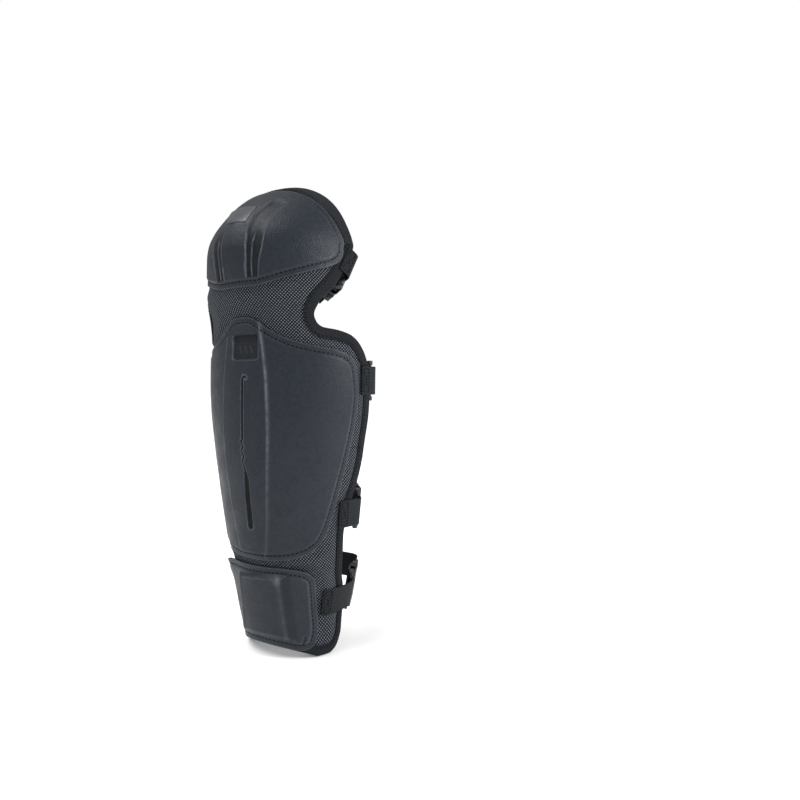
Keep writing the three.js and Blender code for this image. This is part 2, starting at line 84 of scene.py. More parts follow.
KNEE_SHELL_EDGE = [
    [380.5, 14], [383, 22], [386, 29], [393, 46], [400, 61], [406.5, 68], [416, 71], [433, 71.5],
    [449, 70], [462, 66.5], [474, 59], [482, 48], [486.5, 36], [489, 20],
]
ANKLE_SHELL_EDGE = [
    [2, 38], [4, 46], [8, 53], [15, 58.5], [31, 61], [52, 59], [76, 55.5], [88, 52.5],
    [94.5, 47], [98, 38], [99, 25],
]
SHELL_EDGES = (SHIN_SHELL_EDGE, KNEE_SHELL_EDGE, ANKLE_SHELL_EDGE)

# Layers, as distances from the pad surface along its normal.
COVER_THICK = 1.2
COVER_PUFF, LINING_PUFF = 2.6, 2.4  # the most that they swell
PUFF_UNDER_SHELL = 0.3  # of the swell that the cover has elsewhere
SWELL_SHARE = 0.65  # of the even swell, when simulated ripples are added to it
FOAM_GAP = 0.3  # from the foam to the cover and to the lining
LINING = (-11.6, -10.5)
SHELL_RIM = (1.1, 3.0)
SHELL_BODY = (2.2, 4.2)
SEAM_INSET = 5.6
STITCH_PITCH = 4.4
SHELL_STITCH, TAPE_STITCH, STRAP_STITCH = (2.7, 1.7, 0.4), (2.8, 0.9, 0.4), (2.1, 0.9, 0.35)

# The pad is made in two halves, which meet at this height.
SPLIT = 220

# ---- curves and the surface ----------------------------------------------------------------


def smooth(knots, soften=0.0):
    """A curve through [x, y] knots that never overshoots, averaged over `soften` each way."""
    x = np.array([k[0] for k in knots], float)
    y = np.array([k[1] for k in knots], float)
    slope = np.diff(y) / np.diff(x)
    product, total = slope[:-1] * slope[1:], slope[:-1] + slope[1:]
    middle = np.where(product > 0, 2 * product / np.where(total == 0, 1, total), 0)
    tangent = np.concatenate([slope[:1], middle, slope[-1:]])

    def curve(at):
        at = np.clip(np.asarray(at, float), x[0], x[-1])
        i = np.clip(np.searchsorted(x, at, side="right") - 1, 0, len(x) - 2)
        h = x[i + 1] - x[i]
        u = (at - x[i]) / h
        return (
            (1 + 2 * u) * (1 - u) ** 2 * y[i]
            + u * (1 - u) ** 2 * h * tangent[i]
            + u * u * (3 - 2 * u) * y[i + 1]
            + u * u * (u - 1) * h * tangent[i + 1]
        )

    if not soften:
        return curve
    window = [(k * soften / 3, 4 - abs(k)) for k in range(-3, 4)]
    return lambda at: sum(w * curve(np.asarray(at, float) + d) for d, w in window) / 16


half_width = smooth(HALF_WIDTH, 9)
front_depth = smooth(FRONT_DEPTH, 7)
dome_forward = smooth(DOME_FORWARD)
dome_rise = smooth(DOME_RISE)


def step(x, low, high):
    """0 below low, 1 above high, and smooth between them."""
    u = np.clip((x - low) / (high - low), 0, 1)
    return u * u * (3 - 2 * u)


def hump(x, half):
    """A smooth hump of height 1 about x = 0, gone beyond about twice `half`."""
    return np.exp(-((x / half) ** 2))


def surface(t, s):
    """Points of the pad surface."""
    t, s = np.broadcast_arrays(np.asarray(t, float), np.asarray(s, float))
    angle = np.radians(t)
    below, dome = np.minimum(s, KNEE_LINE), np.maximum(s - KNEE_LINE, 0)
    above = s > KNEE_LINE
    arch = ARCH_RISE * np.maximum(0, 1 - (t / ARCH_ANGLE) ** 2) * np.maximum(0, 1 - s / ARCH_FADE)
    x = half_width(below) * np.sin(angle)
    y = -np.where(above, dome_forward(dome), front_depth(below)) * np.cos(angle)
    z = np.where(above, KNEE_LINE + dome_rise(dome) * np.cos(angle), s + arch)
    return np.stack([x, y + SHIFT_Y, z], -1)


def steps(t, s):
    """The surface's change over one degree of t and over one unit of s."""
    return surface(t + 0.5, s) - surface(t - 0.5, s), surface(t, s + 0.5) - surface(t, s - 0.5)


def unit(v):
    """Vectors scaled to a length of 1."""
    return v / norm(v, axis=-1, keepdims=True)


def normal(t, s):
    """The surface's outward direction."""
    t, s = np.asarray(t, float), np.asarray(s, float)
    across, up = steps(t, s)
    return unit(np.cross(across, up))


def layer(t, s, offset):
    """Points `offset` mm outside the surface."""
    return surface(t, s) + normal(t, s) * np.asarray(offset, float)[..., None]


def step_inside(t, s, inward, distance):
    """(t, s) moved by distance mm in the surface direction inward = (along t, along s)."""
    across, up = steps(t, s)
    return (
        t + inward[..., 0] * distance / norm(across, axis=-1),
        s + inward[..., 1] * distance / norm(up, axis=-1),
    )


def lengths(points):
    """Distance along a run of points."""
    return np.concatenate([[0], np.cumsum(norm(np.diff(points, axis=0), axis=1))])


def even(points, spacing):
    """(t, s) points about `spacing` mm apart along a path of (t, s) points."""
    points = np.asarray(points, float)
    parts = [np.linspace(a, b, 12, endpoint=False) for a, b in zip(points[:-1], points[1:])]
    fine = np.concatenate(parts + [points[-1:]])
    run = lengths(surface(fine[:, 0], fine[:, 1]))
    at = np.linspace(0, run[-1], max(2, round(run[-1] / spacing)) + 1)
    return np.stack([np.interp(at, run, fine[:, 0]), np.interp(at, run, fine[:, 1])], -1)


def inward_of(path):
    """Unit surface direction to the left of a (t, s) path, at each of its points."""
    t, s = path[:, 0], path[:, 1]
    across, up = steps(t, s)
    scale = np.stack([norm(across, axis=1), norm(up, axis=1)], -1)
    along = unit(np.gradient(path, axis=0) * scale)
    return np.stack([-along[:, 1], along[:, 0]], -1)


def edge_side(edge, spacing=1.0):
    """The +X side of an outline as evenly spaced (t, s) points, from its bottom to its top."""
    curve = smooth(edge)
    s = np.linspace(edge[0][0], edge[-1][0], 1500)
    return even(np.stack([curve(s), s], -1), spacing)


def outline(edge, spacing=1.0):
    """A whole outline, anticlockwise seen from outside: bottom, +X side, top, -X side."""
    right = edge_side(edge, spacing)
    left = right[::-1] * [-1, 1]
    bottom = even([left[-1], right[0]], spacing)
    top = even([right[-1], left[0]], spacing)
    return np.concatenate([bottom[:-1], right[:-1], top[:-1], left[:-1]])


def edge_distance(points, edge):
    """Distance in mm from each point to the outline."""
    path = outline(edge, 0.5)
    line = surface(path[:, 0], path[:, 1])
    tree = kdtree.KDTree(len(line))
    for i, p in enumerate(line):
        tree.insert(p, i)
    tree.balance()
    flat = points.reshape(-1, 3)
    return np.array([tree.find(p)[2] for p in flat]).reshape(points.shape[:-1])


def rows_of(edge, spacing):
    """Row heights about `spacing` mm apart along the outline."""
    return edge_side(edge, spacing)[:, 1]


def spread(counts, knots):
    """Columns of t for each row: `counts` columns between each two knots, mirrored about 0."""
    parts = []
    for n, a, b in zip(counts, knots[:-1], knots[1:]):
        parts.append(a[:, None] + (b - a)[:, None] * np.arange(n) / n)
    right = np.concatenate(parts + [knots[-1][:, None]], 1)
    return np.concatenate([-right[:, :0:-1], right], 1)


# ---- meshes --------------------------------------------------------------------------------


def linked(name, data):
    """A new object in the scene."""
    made = bpy.data.objects.new(name, data)
    bpy.context.scene.collection.objects.link(made)
    return made


def make(name, points, faces, finish, uv=None, **marks):
    """A smooth mesh from points in mm, faces, and one uv and one value of each mark per point."""
    mesh = bpy.data.meshes.new(name)
    mesh.from_pydata((np.asarray(points) * MM).tolist(), [], np.asarray(faces).tolist())
    if uv is not None:
        corner = np.empty(len(mesh.loops), np.int32)
        mesh.loops.foreach_get("vertex_index", corner)
        mesh.uv_layers.new(name="UVMap").data.foreach_set(
            "uv", (np.asarray(uv)[corner] * MM).astype(np.float32).ravel())
    for mark, values in marks.items():
        mesh.attributes.new(mark, "FLOAT", "POINT").data.foreach_set(
            "value", np.asarray(values, np.float32).ravel())
    mesh.shade_smooth()
    for one in finish if isinstance(finish, (list, tuple)) else [finish]:
        mesh.materials.append(one)
    return linked(name, mesh)


def declare(made, body, slot, *nodes):
    """The body a piece rides on, the slot of its finish (not used), and the CAD nodes it stands for."""
    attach(made, body)
    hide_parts(*nodes)


def outward(made):
    """Turns every face of a closed mesh outwards."""
    work = bmesh.new()
    work.from_mesh(made.data)
    bmesh.ops.recalc_face_normals(work, faces=work.faces)
    work.to_mesh(made.data)
    work.free()
    return made


def slab_faces(rows, columns):
    """Faces of a closed slab whose outer grid comes first and whose inner grid follows."""
    index = np.arange(rows * columns).reshape(rows, columns)
    a, b = index[:-1, :-1].ravel(), index[:-1, 1:].ravel()
    c, d = index[1:, 1:].ravel(), index[1:, :-1].ravel()
    n = rows * columns
    rim = np.concatenate([index[0, :-1], index[:-1, -1], index[-1, :0:-1], index[:0:-1, 0]])
    after = np.roll(rim, -1)
    return np.concatenate([
        np.stack([a, b, c, d], 1),
        np.stack([d + n, c + n, b + n, a + n], 1),
        np.stack([rim, rim + n, after + n, after], 1),
    ])


def grid_uv(t, s):
    """Distance round the leg and up it, in mm, for each point of a grid."""
    points = surface(t, s)
    middle = t.shape[1] // 2
    across = norm(np.diff(points, axis=1), axis=2)
    u = np.concatenate([np.zeros((len(t), 1)), np.cumsum(across, 1)], 1)
    v = lengths(surface(np.zeros(len(t)), s[:, 0]))
    return np.stack([u - u[:, middle:middle + 1] + 200, np.repeat(v[:, None], t.shape[1], 1)], -1)


def slab(name, t, s, outer, inner, finish, **marks):
    """A closed sheet over a (t, s) grid, between two offsets from the surface."""
    points = np.concatenate([layer(t, s, outer).reshape(-1, 3), layer(t, s, inner).reshape(-1, 3)])
    uv = grid_uv(t, s).reshape(-1, 2)
    both = {}
    for mark, values in marks.items():
        both[mark] = np.concatenate([values.ravel(), np.zeros(values.size)])
    return make(name, points, slab_faces(*t.shape), finish, np.concatenate([uv, uv]), **both)


def tube_faces(rings, sides):
    """Faces of closed rings that follow one another, each end closed by a ladder of quads."""
    index = np.arange(rings * sides).reshape(rings, sides)
    after = np.roll(index, -1, axis=1)
    skin = np.stack([index[:-1], after[:-1], after[1:], index[1:]], -1).reshape(-1, 4)
    rung = np.arange(sides // 2 - 1)
    ladder = np.stack([rung, sides - 1 - rung, sides - 2 - rung, rung + 1], 1)
    return np.concatenate([skin, ladder, ladder[:, ::-1] + (rings - 1) * sides])


STITCH_RINGS = [(-1, 0.25), (-0.85, 0.7), (-0.4, 1), (0.4, 1), (0.85, 0.7), (1, 0.25)]


def stitches(centres, along, out, size):
    """Points and faces of thread stitches of a size (length, width, height) on a surface."""
    length, width, height = size
    sides = 8
    side = np.cross(out, along)
    angles = 2 * np.pi * np.arange(sides) / sides
    rings = []
    for x, r in STITCH_RINGS:
        for a in angles:
            rings.append(along * (x * length / 2) + side * (r * width / 2 * math.cos(a))
                         + out * (r * height * math.sin(a)))
    points = (centres[None] + np.stack(rings)).transpose(1, 0, 2)
    faces = tube_faces(len(STITCH_RINGS), sides)
    each = faces[None] + (np.arange(len(centres)) * len(rings))[:, None, None]
    return points.reshape(-1, 3), each.reshape(-1, 4)


# ---- materials -----------------------------------------------------------------------------


def put(tree, kind, inputs=None, **settings):
    """Adds a shader node; inputs maps a socket to a value or to another node's output."""
    made = tree.nodes.new("ShaderNode" + kind)
    for key, value in settings.items():
        setattr(made, key, value)
    for key, value in (inputs or {}).items():
        if isinstance(value, bpy.types.NodeSocket):
            tree.links.new(value, made.inputs[key])
        else:
            made.inputs[key].default_value = value
    return made


class Look:
    """A new material, and short calls that add its shader's nodes.

    On cloth, patterns follow the UV map, and u and v are its lengths in mm. Elsewhere they
    follow the object's own space, in metres."""

    def __init__(self, name, roughness, specular, cloth=False):
        self.made = bpy.data.materials.new(name)
        self.made.use_nodes = True
        self.tree = self.made.node_tree
        self.shader = self.tree.nodes["Principled BSDF"]
        self.shader.inputs["Roughness"].default_value = roughness
        self.shader.inputs["Specular IOR Level"].default_value = specular
        if cloth:
            self.place = self.put("UVMap").outputs[0]
            split = self.put("SeparateXYZ", {0: self.place})
            self.u, self.v = (self.times(split.outputs[k], 1000) for k in (0, 1))
        else:
            self.place = self.put("TexCoord").outputs["Object"]

    def put(self, kind, inputs=None, **settings):
        return put(self.tree, kind, inputs, **settings)

    def maths(self, operation, a, b=0.0):
        return self.put("Math", {0: a, 1: b}, operation=operation).outputs[0]

    def plus(self, a, b):
        return self.maths("ADD", a, b)

    def times(self, a, b):
        return self.maths("MULTIPLY", a, b)

    def mark(self, name):
        """A value stored on the mesh's points."""
        return self.put("Attribute", attribute_name=name).outputs["Fac"]

    def noise(self, scale, detail=3.0, rough=0.5):
        inputs = {"Vector": self.place, "Scale": scale, "Detail": detail, "Roughness": rough}
        return self.put("TexNoise", inputs).outputs["Fac"]

    def cells(self, scale):
        return self.put("TexVoronoi", {"Vector": self.place, "Scale": scale}).outputs["Distance"]

    def wave(self, value, period):
        """Cosine of a length in mm, with the period in mm."""
        return self.maths("COSINE", self.times(value, 2 * math.pi / period))

    def remap(self, value, low, high, to_low=0.0, to_high=1.0):
        inputs = {0: value, 1: low, 2: high, 3: to_low, 4: to_high}
        return self.put("MapRange", inputs, interpolation_type="SMOOTHSTEP").outputs[0]

    def mixed(self, factor, a, b):
        """A blend of two colours, each one plain or a node's output."""
        ends = [end if isinstance(end, bpy.types.NodeSocket) else (*end, 1) for end in (a, b)]
        return self.put("Mix", {0: factor, 6: ends[0], 7: ends[1]}, data_type="RGBA").outputs[2]

    def bumped(self, height, distance, strength, under=None):
        inputs = {"Height": height, "Distance": distance, "Strength": strength}
        if under is not None:
            inputs["Normal"] = under
        return self.put("Bump", inputs).outputs["Normal"]

    def done(self, colour, normal, roughness=None):
        """Links what varies over the surface and returns the material."""
        for socket, value in (("Base Color", colour), ("Normal", normal), ("Roughness", roughness)):
            if value is not None:
                self.tree.links.new(value, self.shader.inputs[socket])
        return self.made


def mesh_finish():
    """Sandwich mesh cloth: light knots in staggered rows over dark holes."""
    look = Look("sandwich_mesh", 0.8, 0.15, cloth=True)
    uneven = look.noise(420)
    knots = look.times(look.wave(look.u, 3.3), look.wave(look.v, 3.3))
    knots = look.plus(knots, look.times(look.maths("SUBTRACT", uneven, 0.5), 0.35))
    dots = look.remap(knots, 0.12, 0.6)
    strands = look.times(look.remap(look.maths("ABSOLUTE", knots), 0.0, 0.2, 1, 0), 0.3)
    broad = look.remap(look.noise(14), 0.3, 0.7)
    holes = look.mixed(broad, (0.003, 0.0036, 0.0045), (0.0055, 0.0063, 0.008))
    holes = look.mixed(strands, holes, (0.04, 0.043, 0.05))
    light = look.mixed(uneven, (0.088, 0.10, 0.122), (0.195, 0.22, 0.255))
    relief = look.bumped(look.plus(dots, strands), 0.0005, 0.8)
    return look.done(look.mixed(dots, holes, light), relief)


def shell_finish():
    """Moulded leathery plastic: fine grain, mottled tone, edges paler from rubbing and from painted
    highlights, and painted shade in hollows.
    """
    look = Look("moulded_shell", 0.5, 0.27)
    hollow = look.mark("hollow")
    mottle = look.remap(look.noise(45, 5, 0.65), 0.3, 0.72)
    grain = look.noise(900, 4, 0.6)
    flecks = look.remap(look.noise(240, 3, 0.6), 0.36, 0.66, 0, 0.6)
    rubbed_and_highlit = look.times(look.mark("wear"), look.remap(look.noise(160, 4, 0.7), 0.25, 0.75, 0.35, 1))
    tone = look.mixed(mottle, (0.0040, 0.0075, 0.0135), (0.0085, 0.0130, 0.0205))
    tone = look.mixed(flecks, tone, (0.0175, 0.0228, 0.0312))
    tone = look.mixed(look.remap(grain, 0.38, 0.62), tone, (0.0125, 0.0166, 0.0238))
    # Paler where the rubbed mark is high: partly real rubbing on the lip and crests, partly painted
    # highlight on ridges, corners and groove sides.
    tone = look.mixed(rubbed_and_highlit, tone, (0.112, 0.126, 0.148))
    # Near-black painted shade in grooves, channels, the sunk rectangle, the slot, creases and along the
    # seam line.
    tone = look.mixed(hollow, tone, (0.0035, 0.004, 0.005))
    rough = look.plus(look.remap(mottle, 0, 1, 0.50, 0.38), look.times(hollow, 0.4))
    fine = look.bumped(look.plus(grain, look.times(look.cells(620), 0.7)), 0.0003, 1.0)
    return look.done(tone, look.bumped(look.noise(150), 0.0006, 0.35, fine), rough)


def tape_finish():
    """Ribbed binding tape."""
    look = Look("binding_tape", 0.85, 0.16, cloth=True)
    weave = look.plus(look.times(look.wave(look.v, 1.6), 0.4), look.wave(look.u, 1.25))
    height = look.plus(weave, look.noise(700))
    tone = look.mixed(look.remap(height, -0.6, 1.8), (0.0025, 0.0032, 0.0044), (0.031, 0.035, 0.042))
    broad = look.times(look.remap(look.noise(35, 4), 0.3, 0.7), 0.2)
    tone = look.mixed(broad, tone, (0.030, 0.032, 0.036))
    return look.done(tone, look.bumped(height, 0.0005, 0.9))


def webbing_finish():
    """Woven polyester webbing: ribs along it, crossed by the weft."""
    look = Look("strap_webbing", 0.75, 0.2, cloth=True)
    column = look.maths("FLOOR", look.maths("DIVIDE", look.v, 1.7))
    weft = look.wave(look.plus(look.times(column, 0.9), look.u), 1.8)
    warp = look.maths("ABSOLUTE", look.wave(look.v, 3.4))
    height = look.plus(look.times(weft, warp), look.times(look.noise(900), 0.6))
    tone = look.mixed(look.remap(height, -0.6, 1.3), (0.0015, 0.002, 0.003), (0.026, 0.031, 0.037))
    worn = look.remap(look.noise(30, 4), 0.45, 0.75, 0, 0.3)
    tone = look.mixed(worn, tone, (0.025, 0.028, 0.033))
    return look.done(tone, look.bumped(height, 0.0006, 0.9))


def lining_finish():
    """Knitted lining with a small diamond relief."""
    look = Look("knit_lining", 0.9, 0.2, cloth=True)
    loops = look.times(look.wave(look.u, 2.2), look.wave(look.v, 1.7))
    height = look.plus(loops, look.noise(800, 4))
    tone = look.mixed(look.remap(height, -0.3, 1.4), (0.009, 0.0105, 0.013), (0.085, 0.090, 0.100))
    broad = look.remap(look.noise(18, 4), 0.35, 0.7, 0, 0.35)
    tone = look.mixed(broad, tone, (0.070, 0.075, 0.083))
    return look.done(tone, look.bumped(height, 0.0005, 0.8))


def foam_finish():
    """Closed-cell foam."""
    look = Look("pad_foam", 0.95, 0.2)
    cells = look.cells(900)
    tone = look.mixed(cells, (0.02, 0.02, 0.022), (0.05, 0.05, 0.055))
    return look.done(tone, look.bumped(cells, 0.0004, 0.8))


def buckle_finish():
    """Satin moulded acetal with fine scuffs."""
    look = Look("buckle_plastic", 0.42, 0.4)
    scuff = look.remap(look.noise(260, 5, 0.7), 0.45, 0.75)
    tone = look.mixed(scuff, (0.012, 0.0135, 0.0165), (0.028, 0.030, 0.035))
    rough = look.remap(scuff, 0, 1, 0.34, 0.52)
    return look.done(tone, look.bumped(look.noise(1500), 0.00012, 0.6), rough)


def thread_finish():
    """Twisted black sewing thread."""
    look = Look("sewing_thread", 0.75, 0.12)
    twist = look.noise(1400, 2)
    tone = look.mixed(twist, (0.0015, 0.0015, 0.002), (0.006, 0.0065, 0.0075))
    return look.done(tone, look.bumped(twist, 0.0003, 0.7))


def patch_finish():
    """Smooth moulded patch."""
    look = Look("blank_patch", 0.36, 0.5)
    scuff = look.noise(220, 5, 0.65)
    tone = look.mixed(scuff, (0.024, 0.027, 0.033), (0.048, 0.053, 0.062))
    rough = look.remap(scuff, 0.3, 0.7, 0.28, 0.45)
    return look.done(tone, look.bumped(look.noise(1100), 0.0001, 0.6), rough)


SHELL, MESH, TAPE = shell_finish(), mesh_finish(), tape_finish()
WEBBING, KNIT, FOAM_LOOK = webbing_finish(), lining_finish(), foam_finish()
BUCKLE, THREAD, PATCH = buckle_finish(), thread_finish(), patch_finish()

# ---- shells --------------------------------------------------------------------------------


def rim_profile(d):
    """Height of the shell's outer face over its rim value: rounded lip, flange, pressed seam."""
    lip = 0.8
    rounded = np.sqrt(np.maximum(lip**2 - (lip - np.minimum(d, lip)) ** 2, 0)) - lip
    seam = -0.4 * hump(d - SEAM_INSET, 0.9)
    body = (SHELL_BODY[1] - SHELL_RIM[1]) * step(d, SEAM_INSET - 0.2, SEAM_INSET + 3.4)
    return rounded + seam + body


def groove_distance(x, y, path):
    """Distance in mm outside a groove along a path of (x, y, half-width) points."""
    best = np.full(x.shape, 1e9)
    for (ax, ay, ar), (bx, by, br) in zip(path[:-1], path[1:]):
        run = (bx - ax) ** 2 + (by - ay) ** 2
        u = np.clip(((x - ax) * (bx - ax) + (y - ay) * (by - ay)) / run, 0, 1)
        away = np.hypot(x - ax - u * (bx - ax), y - ay - u * (by - ay))
        best = np.minimum(best, away - ar - u * (br - ar))
    return best


def rounded_box(x, y, half_x, half_y, radius):
    """Signed distance in mm to a box with rounded corners about (0, 0)."""
    dx, dy = np.abs(x) - half_x + radius, np.abs(y) - half_y + radius
    outside = np.hypot(np.maximum(dx, 0), np.maximum(dy, 0))
    return outside + np.minimum(np.maximum(dx, dy), 0) - radius


SHIN_RIDGE = smooth([[106, 12.5], [165, 17], [222, 18.5], [288, 16.5], [352, 11.5]])
MM_PER_DEGREE = 1.55
PANEL_RISE, GROOVE_DEPTH = 0.8, 1.6
RECESS = {"middle": (2.7, 321.5), "half": (14.2, 12.9), "radius": 3.0, "depth": 1.7}
RIBS = {"pitch": 6.4, "slant": 0.35, "height": 0.7}
GROOVE = [
    (4.6, 290.6, 0.7), (1.8, 292.2, 0.8), (0.3, 289.5, 0.9), (0.2, 229, 0.9), (-2.2, 227.5, 0.5),
    (0.7, 221.5, 0.8), (-1.5, 218, 0.5), (1.3, 211.5, 0.8), (-0.9, 208, 0.5), (2.0, 198.5, 0.9),
]
SLOT = [(2.0, 198.5, 0.9), (2.9, 187, 3.0), (2.1, 141, 3.5)]


def shin_relief(t, s):
    """Raised middle panel with two ridges, sunk rectangle, groove and slot.

    The second value is painted light: above 0 for painted shade in the sunk rectangle and round its
    frame, in the groove and in the slot, and below 0 for painted highlights on the right ridge, beside
    the groove and at the slot's lower end."""
    across = (np.abs(t) - SHIN_RIDGE(s)) * np.radians(1) * half_width(s)
    x = t * MM_PER_DEGREE
    fade = 0.3 + 0.7 * step(s, 120, 300)
    right = step(t, -1, 1)
    ridge = fade * hump(across, 1.2 + 0.5 * right)
    height = PANEL_RISE * step(-across, -1.1, 1.3) + (0.3 + 0.8 * right) * ridge
    middle, half = RECESS["middle"], RECESS["half"]
    rx, ry = x - middle[0], s - middle[1]
    box = rounded_box(rx, ry, *half, RECESS["radius"])
    sunk = step(-box, -0.6, 0.7)
    ribs = step(np.cos(2 * np.pi * (rx + RIBS["slant"] * ry) / RIBS["pitch"]), 0.1, 0.7)
    ribs *= step(11.2 - np.abs(rx), 0, 1.5) * step(4.0 - np.abs(ry + 2.6), 0, 1)
    ledge = 0.5 * step(ry, 3.6, 4.6)
    height -= sunk * (RECESS["depth"] + ledge - RIBS["height"] * ribs)
    height += 0.12 * hump(box - 0.9, 0.8)
    cut = groove_distance(x, s, GROOVE)
    wide = groove_distance(x, s, SLOT)
    line, slot = step(-cut, -0.6, 0.3), step(-wide, -0.7, 0.6)
    height += 0.45 * hump(cut - 1.0, 0.6) * (x > 0.2) - GROOVE_DEPTH * np.maximum(line, slot)
    # Painted shade: the recess and a 2 mm frame round it are drawn darker on all sides but the left,
    # where the edge is left lit; also the groove and the slot.
    rim = step(-box, -2.2, -0.4) * step(rx, -half[0] - 0.5, -half[0] + 1.5)
    hollow = np.maximum.reduce([0.7 * sunk - 0.35 * ribs * sunk, 0.4 * rim, 0.97 * line, slot])
    # Painted highlight: the right ridge, the groove's sides and the slot's lower end are drawn paler, as
    # where light catches them.
    pale = 0.5 * right * ridge + 0.3 * hump(cut - 1.1, 0.6) * hump(s - 213, 16)
    pale += 0.35 * hump(wide - 0.9, 0.7) * step(-s, -152, -141)
    return height, hollow - pale


# The knee cap's channels: their near and far walls and the rib between them, in degrees.
KNEE_LOW = smooth([
    [389, 9.2], [400, 9.8], [411, 10.5], [437, 10.5], [453, 10.2], [464, 12], [474, 14.8],
], 8)
KNEE_HIGH = smooth([
    [389, 15.8], [404, 17.5], [420, 20.6], [442, 21.2], [459, 22.8], [472, 26.5],
], 8)
KNEE_RIB = smooth([[388, 12.4], [400, 12.9], [412, 13.8], [424, 14.8], [436, 15.8]])
CHANNEL_DEPTH, KNEE_RIB_HEIGHT = 2.2, 2.0


def knee_relief(t, s):
    """On each side of the middle a pair of channels that join into one wide one; and painted shade in the
    channels.
    """
    a = np.abs(t)
    inside_low = (a - KNEE_LOW(s)) * MM_PER_DEGREE
    inside_high = (KNEE_HIGH(s) - a) * MM_PER_DEGREE
    ends = step(s, 387.6, 390.4) * step(-s, -476, -471)
    upper = step(s, 424, 446)
    low_wall = step(inside_low, -0.7 - 1.5 * upper, 1 + 2.5 * upper)
    channel = low_wall * step(inside_high, -0.9, 1 + 8 * upper) * ends
    depth = CHANNEL_DEPTH - 0.7 * upper
    inside = np.minimum(inside_low, inside_high)
    rib = hump((a - KNEE_RIB(s)) * MM_PER_DEGREE, 0.85) * step(-s, -437, -424) * step(s, 387.6, 391)
    lips = (0.55 * hump(inside_low + 1.2, 0.9) + 0.5 * hump(inside_high + 1.2, 0.9)) * (1 - upper) * ends
    foot = 0.4 * hump(s - 387.2, 1.1) * step(inside, -1.5, 0.5)
    tip = 0.5 * step(s, 466, 472) * channel
    boss = 0.6 * step(-label_distance(t, s), -2, 0.5)
    height = channel * (KNEE_RIB_HEIGHT * rib - depth - tip) + lips + foot + boss
    # Painted shade: the channels are drawn darker, except on the rib between them, and darkest at their
    # upper tips.
    dark = channel * np.clip(1 - rib, 0, 1) * (0.6 - 0.5 * upper)
    return height, np.clip(dark + 0.5 * tip, 0, 0.9)


# The label leans: (t, s) of its bottom left, bottom right, top right and top left corners.
LABEL = ((-12, 448.5), (7.5, 444.5), (9, 467), (-22, 473))


def label_distance(t, s):
    """Distance in mm outside the label on top of the knee, which widens towards its top."""
    level = s + 0.2 * t
    share = np.clip((level - 446) / 22.6, 0, 1)
    sides = np.maximum(-12 - 10 * share - t, t - 7.5 - 1.5 * share) * MM_PER_DEGREE
    ends = np.maximum(446 - level, level - 468.7) * MM_PER_DEGREE
    return np.maximum(sides, ends)


ANKLE_CREASE = [(44.5, 21, 0.5), (42.5, 14, 0.4), (41, 11, 0.2)]


def ankle_relief(t, s):
    """A raised panel, wider at the bottom, between two sloping bands; and its painted light: shade on the
    right band and in the crease, highlights on the right ridge and the top right corner.
    """
    scale = np.radians(1) * half_width(s)
    left = (t + 19 + 8 * (84 - s) / 64) * scale
    right = (23.5 + 6.5 * (91 - s) / 70 - t) * scale
    top, bottom = 88 + 0.1 * t - s, s - 17
    sides = np.minimum(step(left, -5, 1.5), step(right, -10, 0.5))
    ends = np.minimum(step(top, -3, 2), step(bottom, -6, 3))
    panel = 3.2 * np.minimum(sides, ends)
    corner = hump(right - 2.5, 4) * hump(top - 3.5, 4)
    ridge = (0.6 * hump(left - 1.5, 2.0) + 0.55 * hump(right - 2.2, 2.4)) * ends + 0.5 * corner
    crease = groove_distance(t * scale, s, ANKLE_CREASE)
    # Painted shade on the band that slopes away right of the panel and in the crease; painted highlight
    # along the right ridge and on the panel's top right corner.
    band = step(right, -11, -7) * step(-right, -1, 3) * ends
    pale = 0.18 * hump(right - 1.5, 2.6) * ends + 0.5 * corner
    return panel + ridge - 0.7 * hump(crease, 0.9), 0.45 * band + 0.6 * hump(crease, 0.8) - pale


def ankle_lift(t, s):
    """The instep plate's upper corners stand off the pad."""
    side = 2.4 * step(s, 12, 50) * step(-t, 26, 52)
    return side + 2.8 * step(s, 70, 97) * step(np.abs(t), 22, 50) + 0.8 * step(s, 84, 97)


def no_lift(t, s):
    """For the plates that lie on the pad all over."""
    return np.zeros(np.broadcast(t, s).shape)


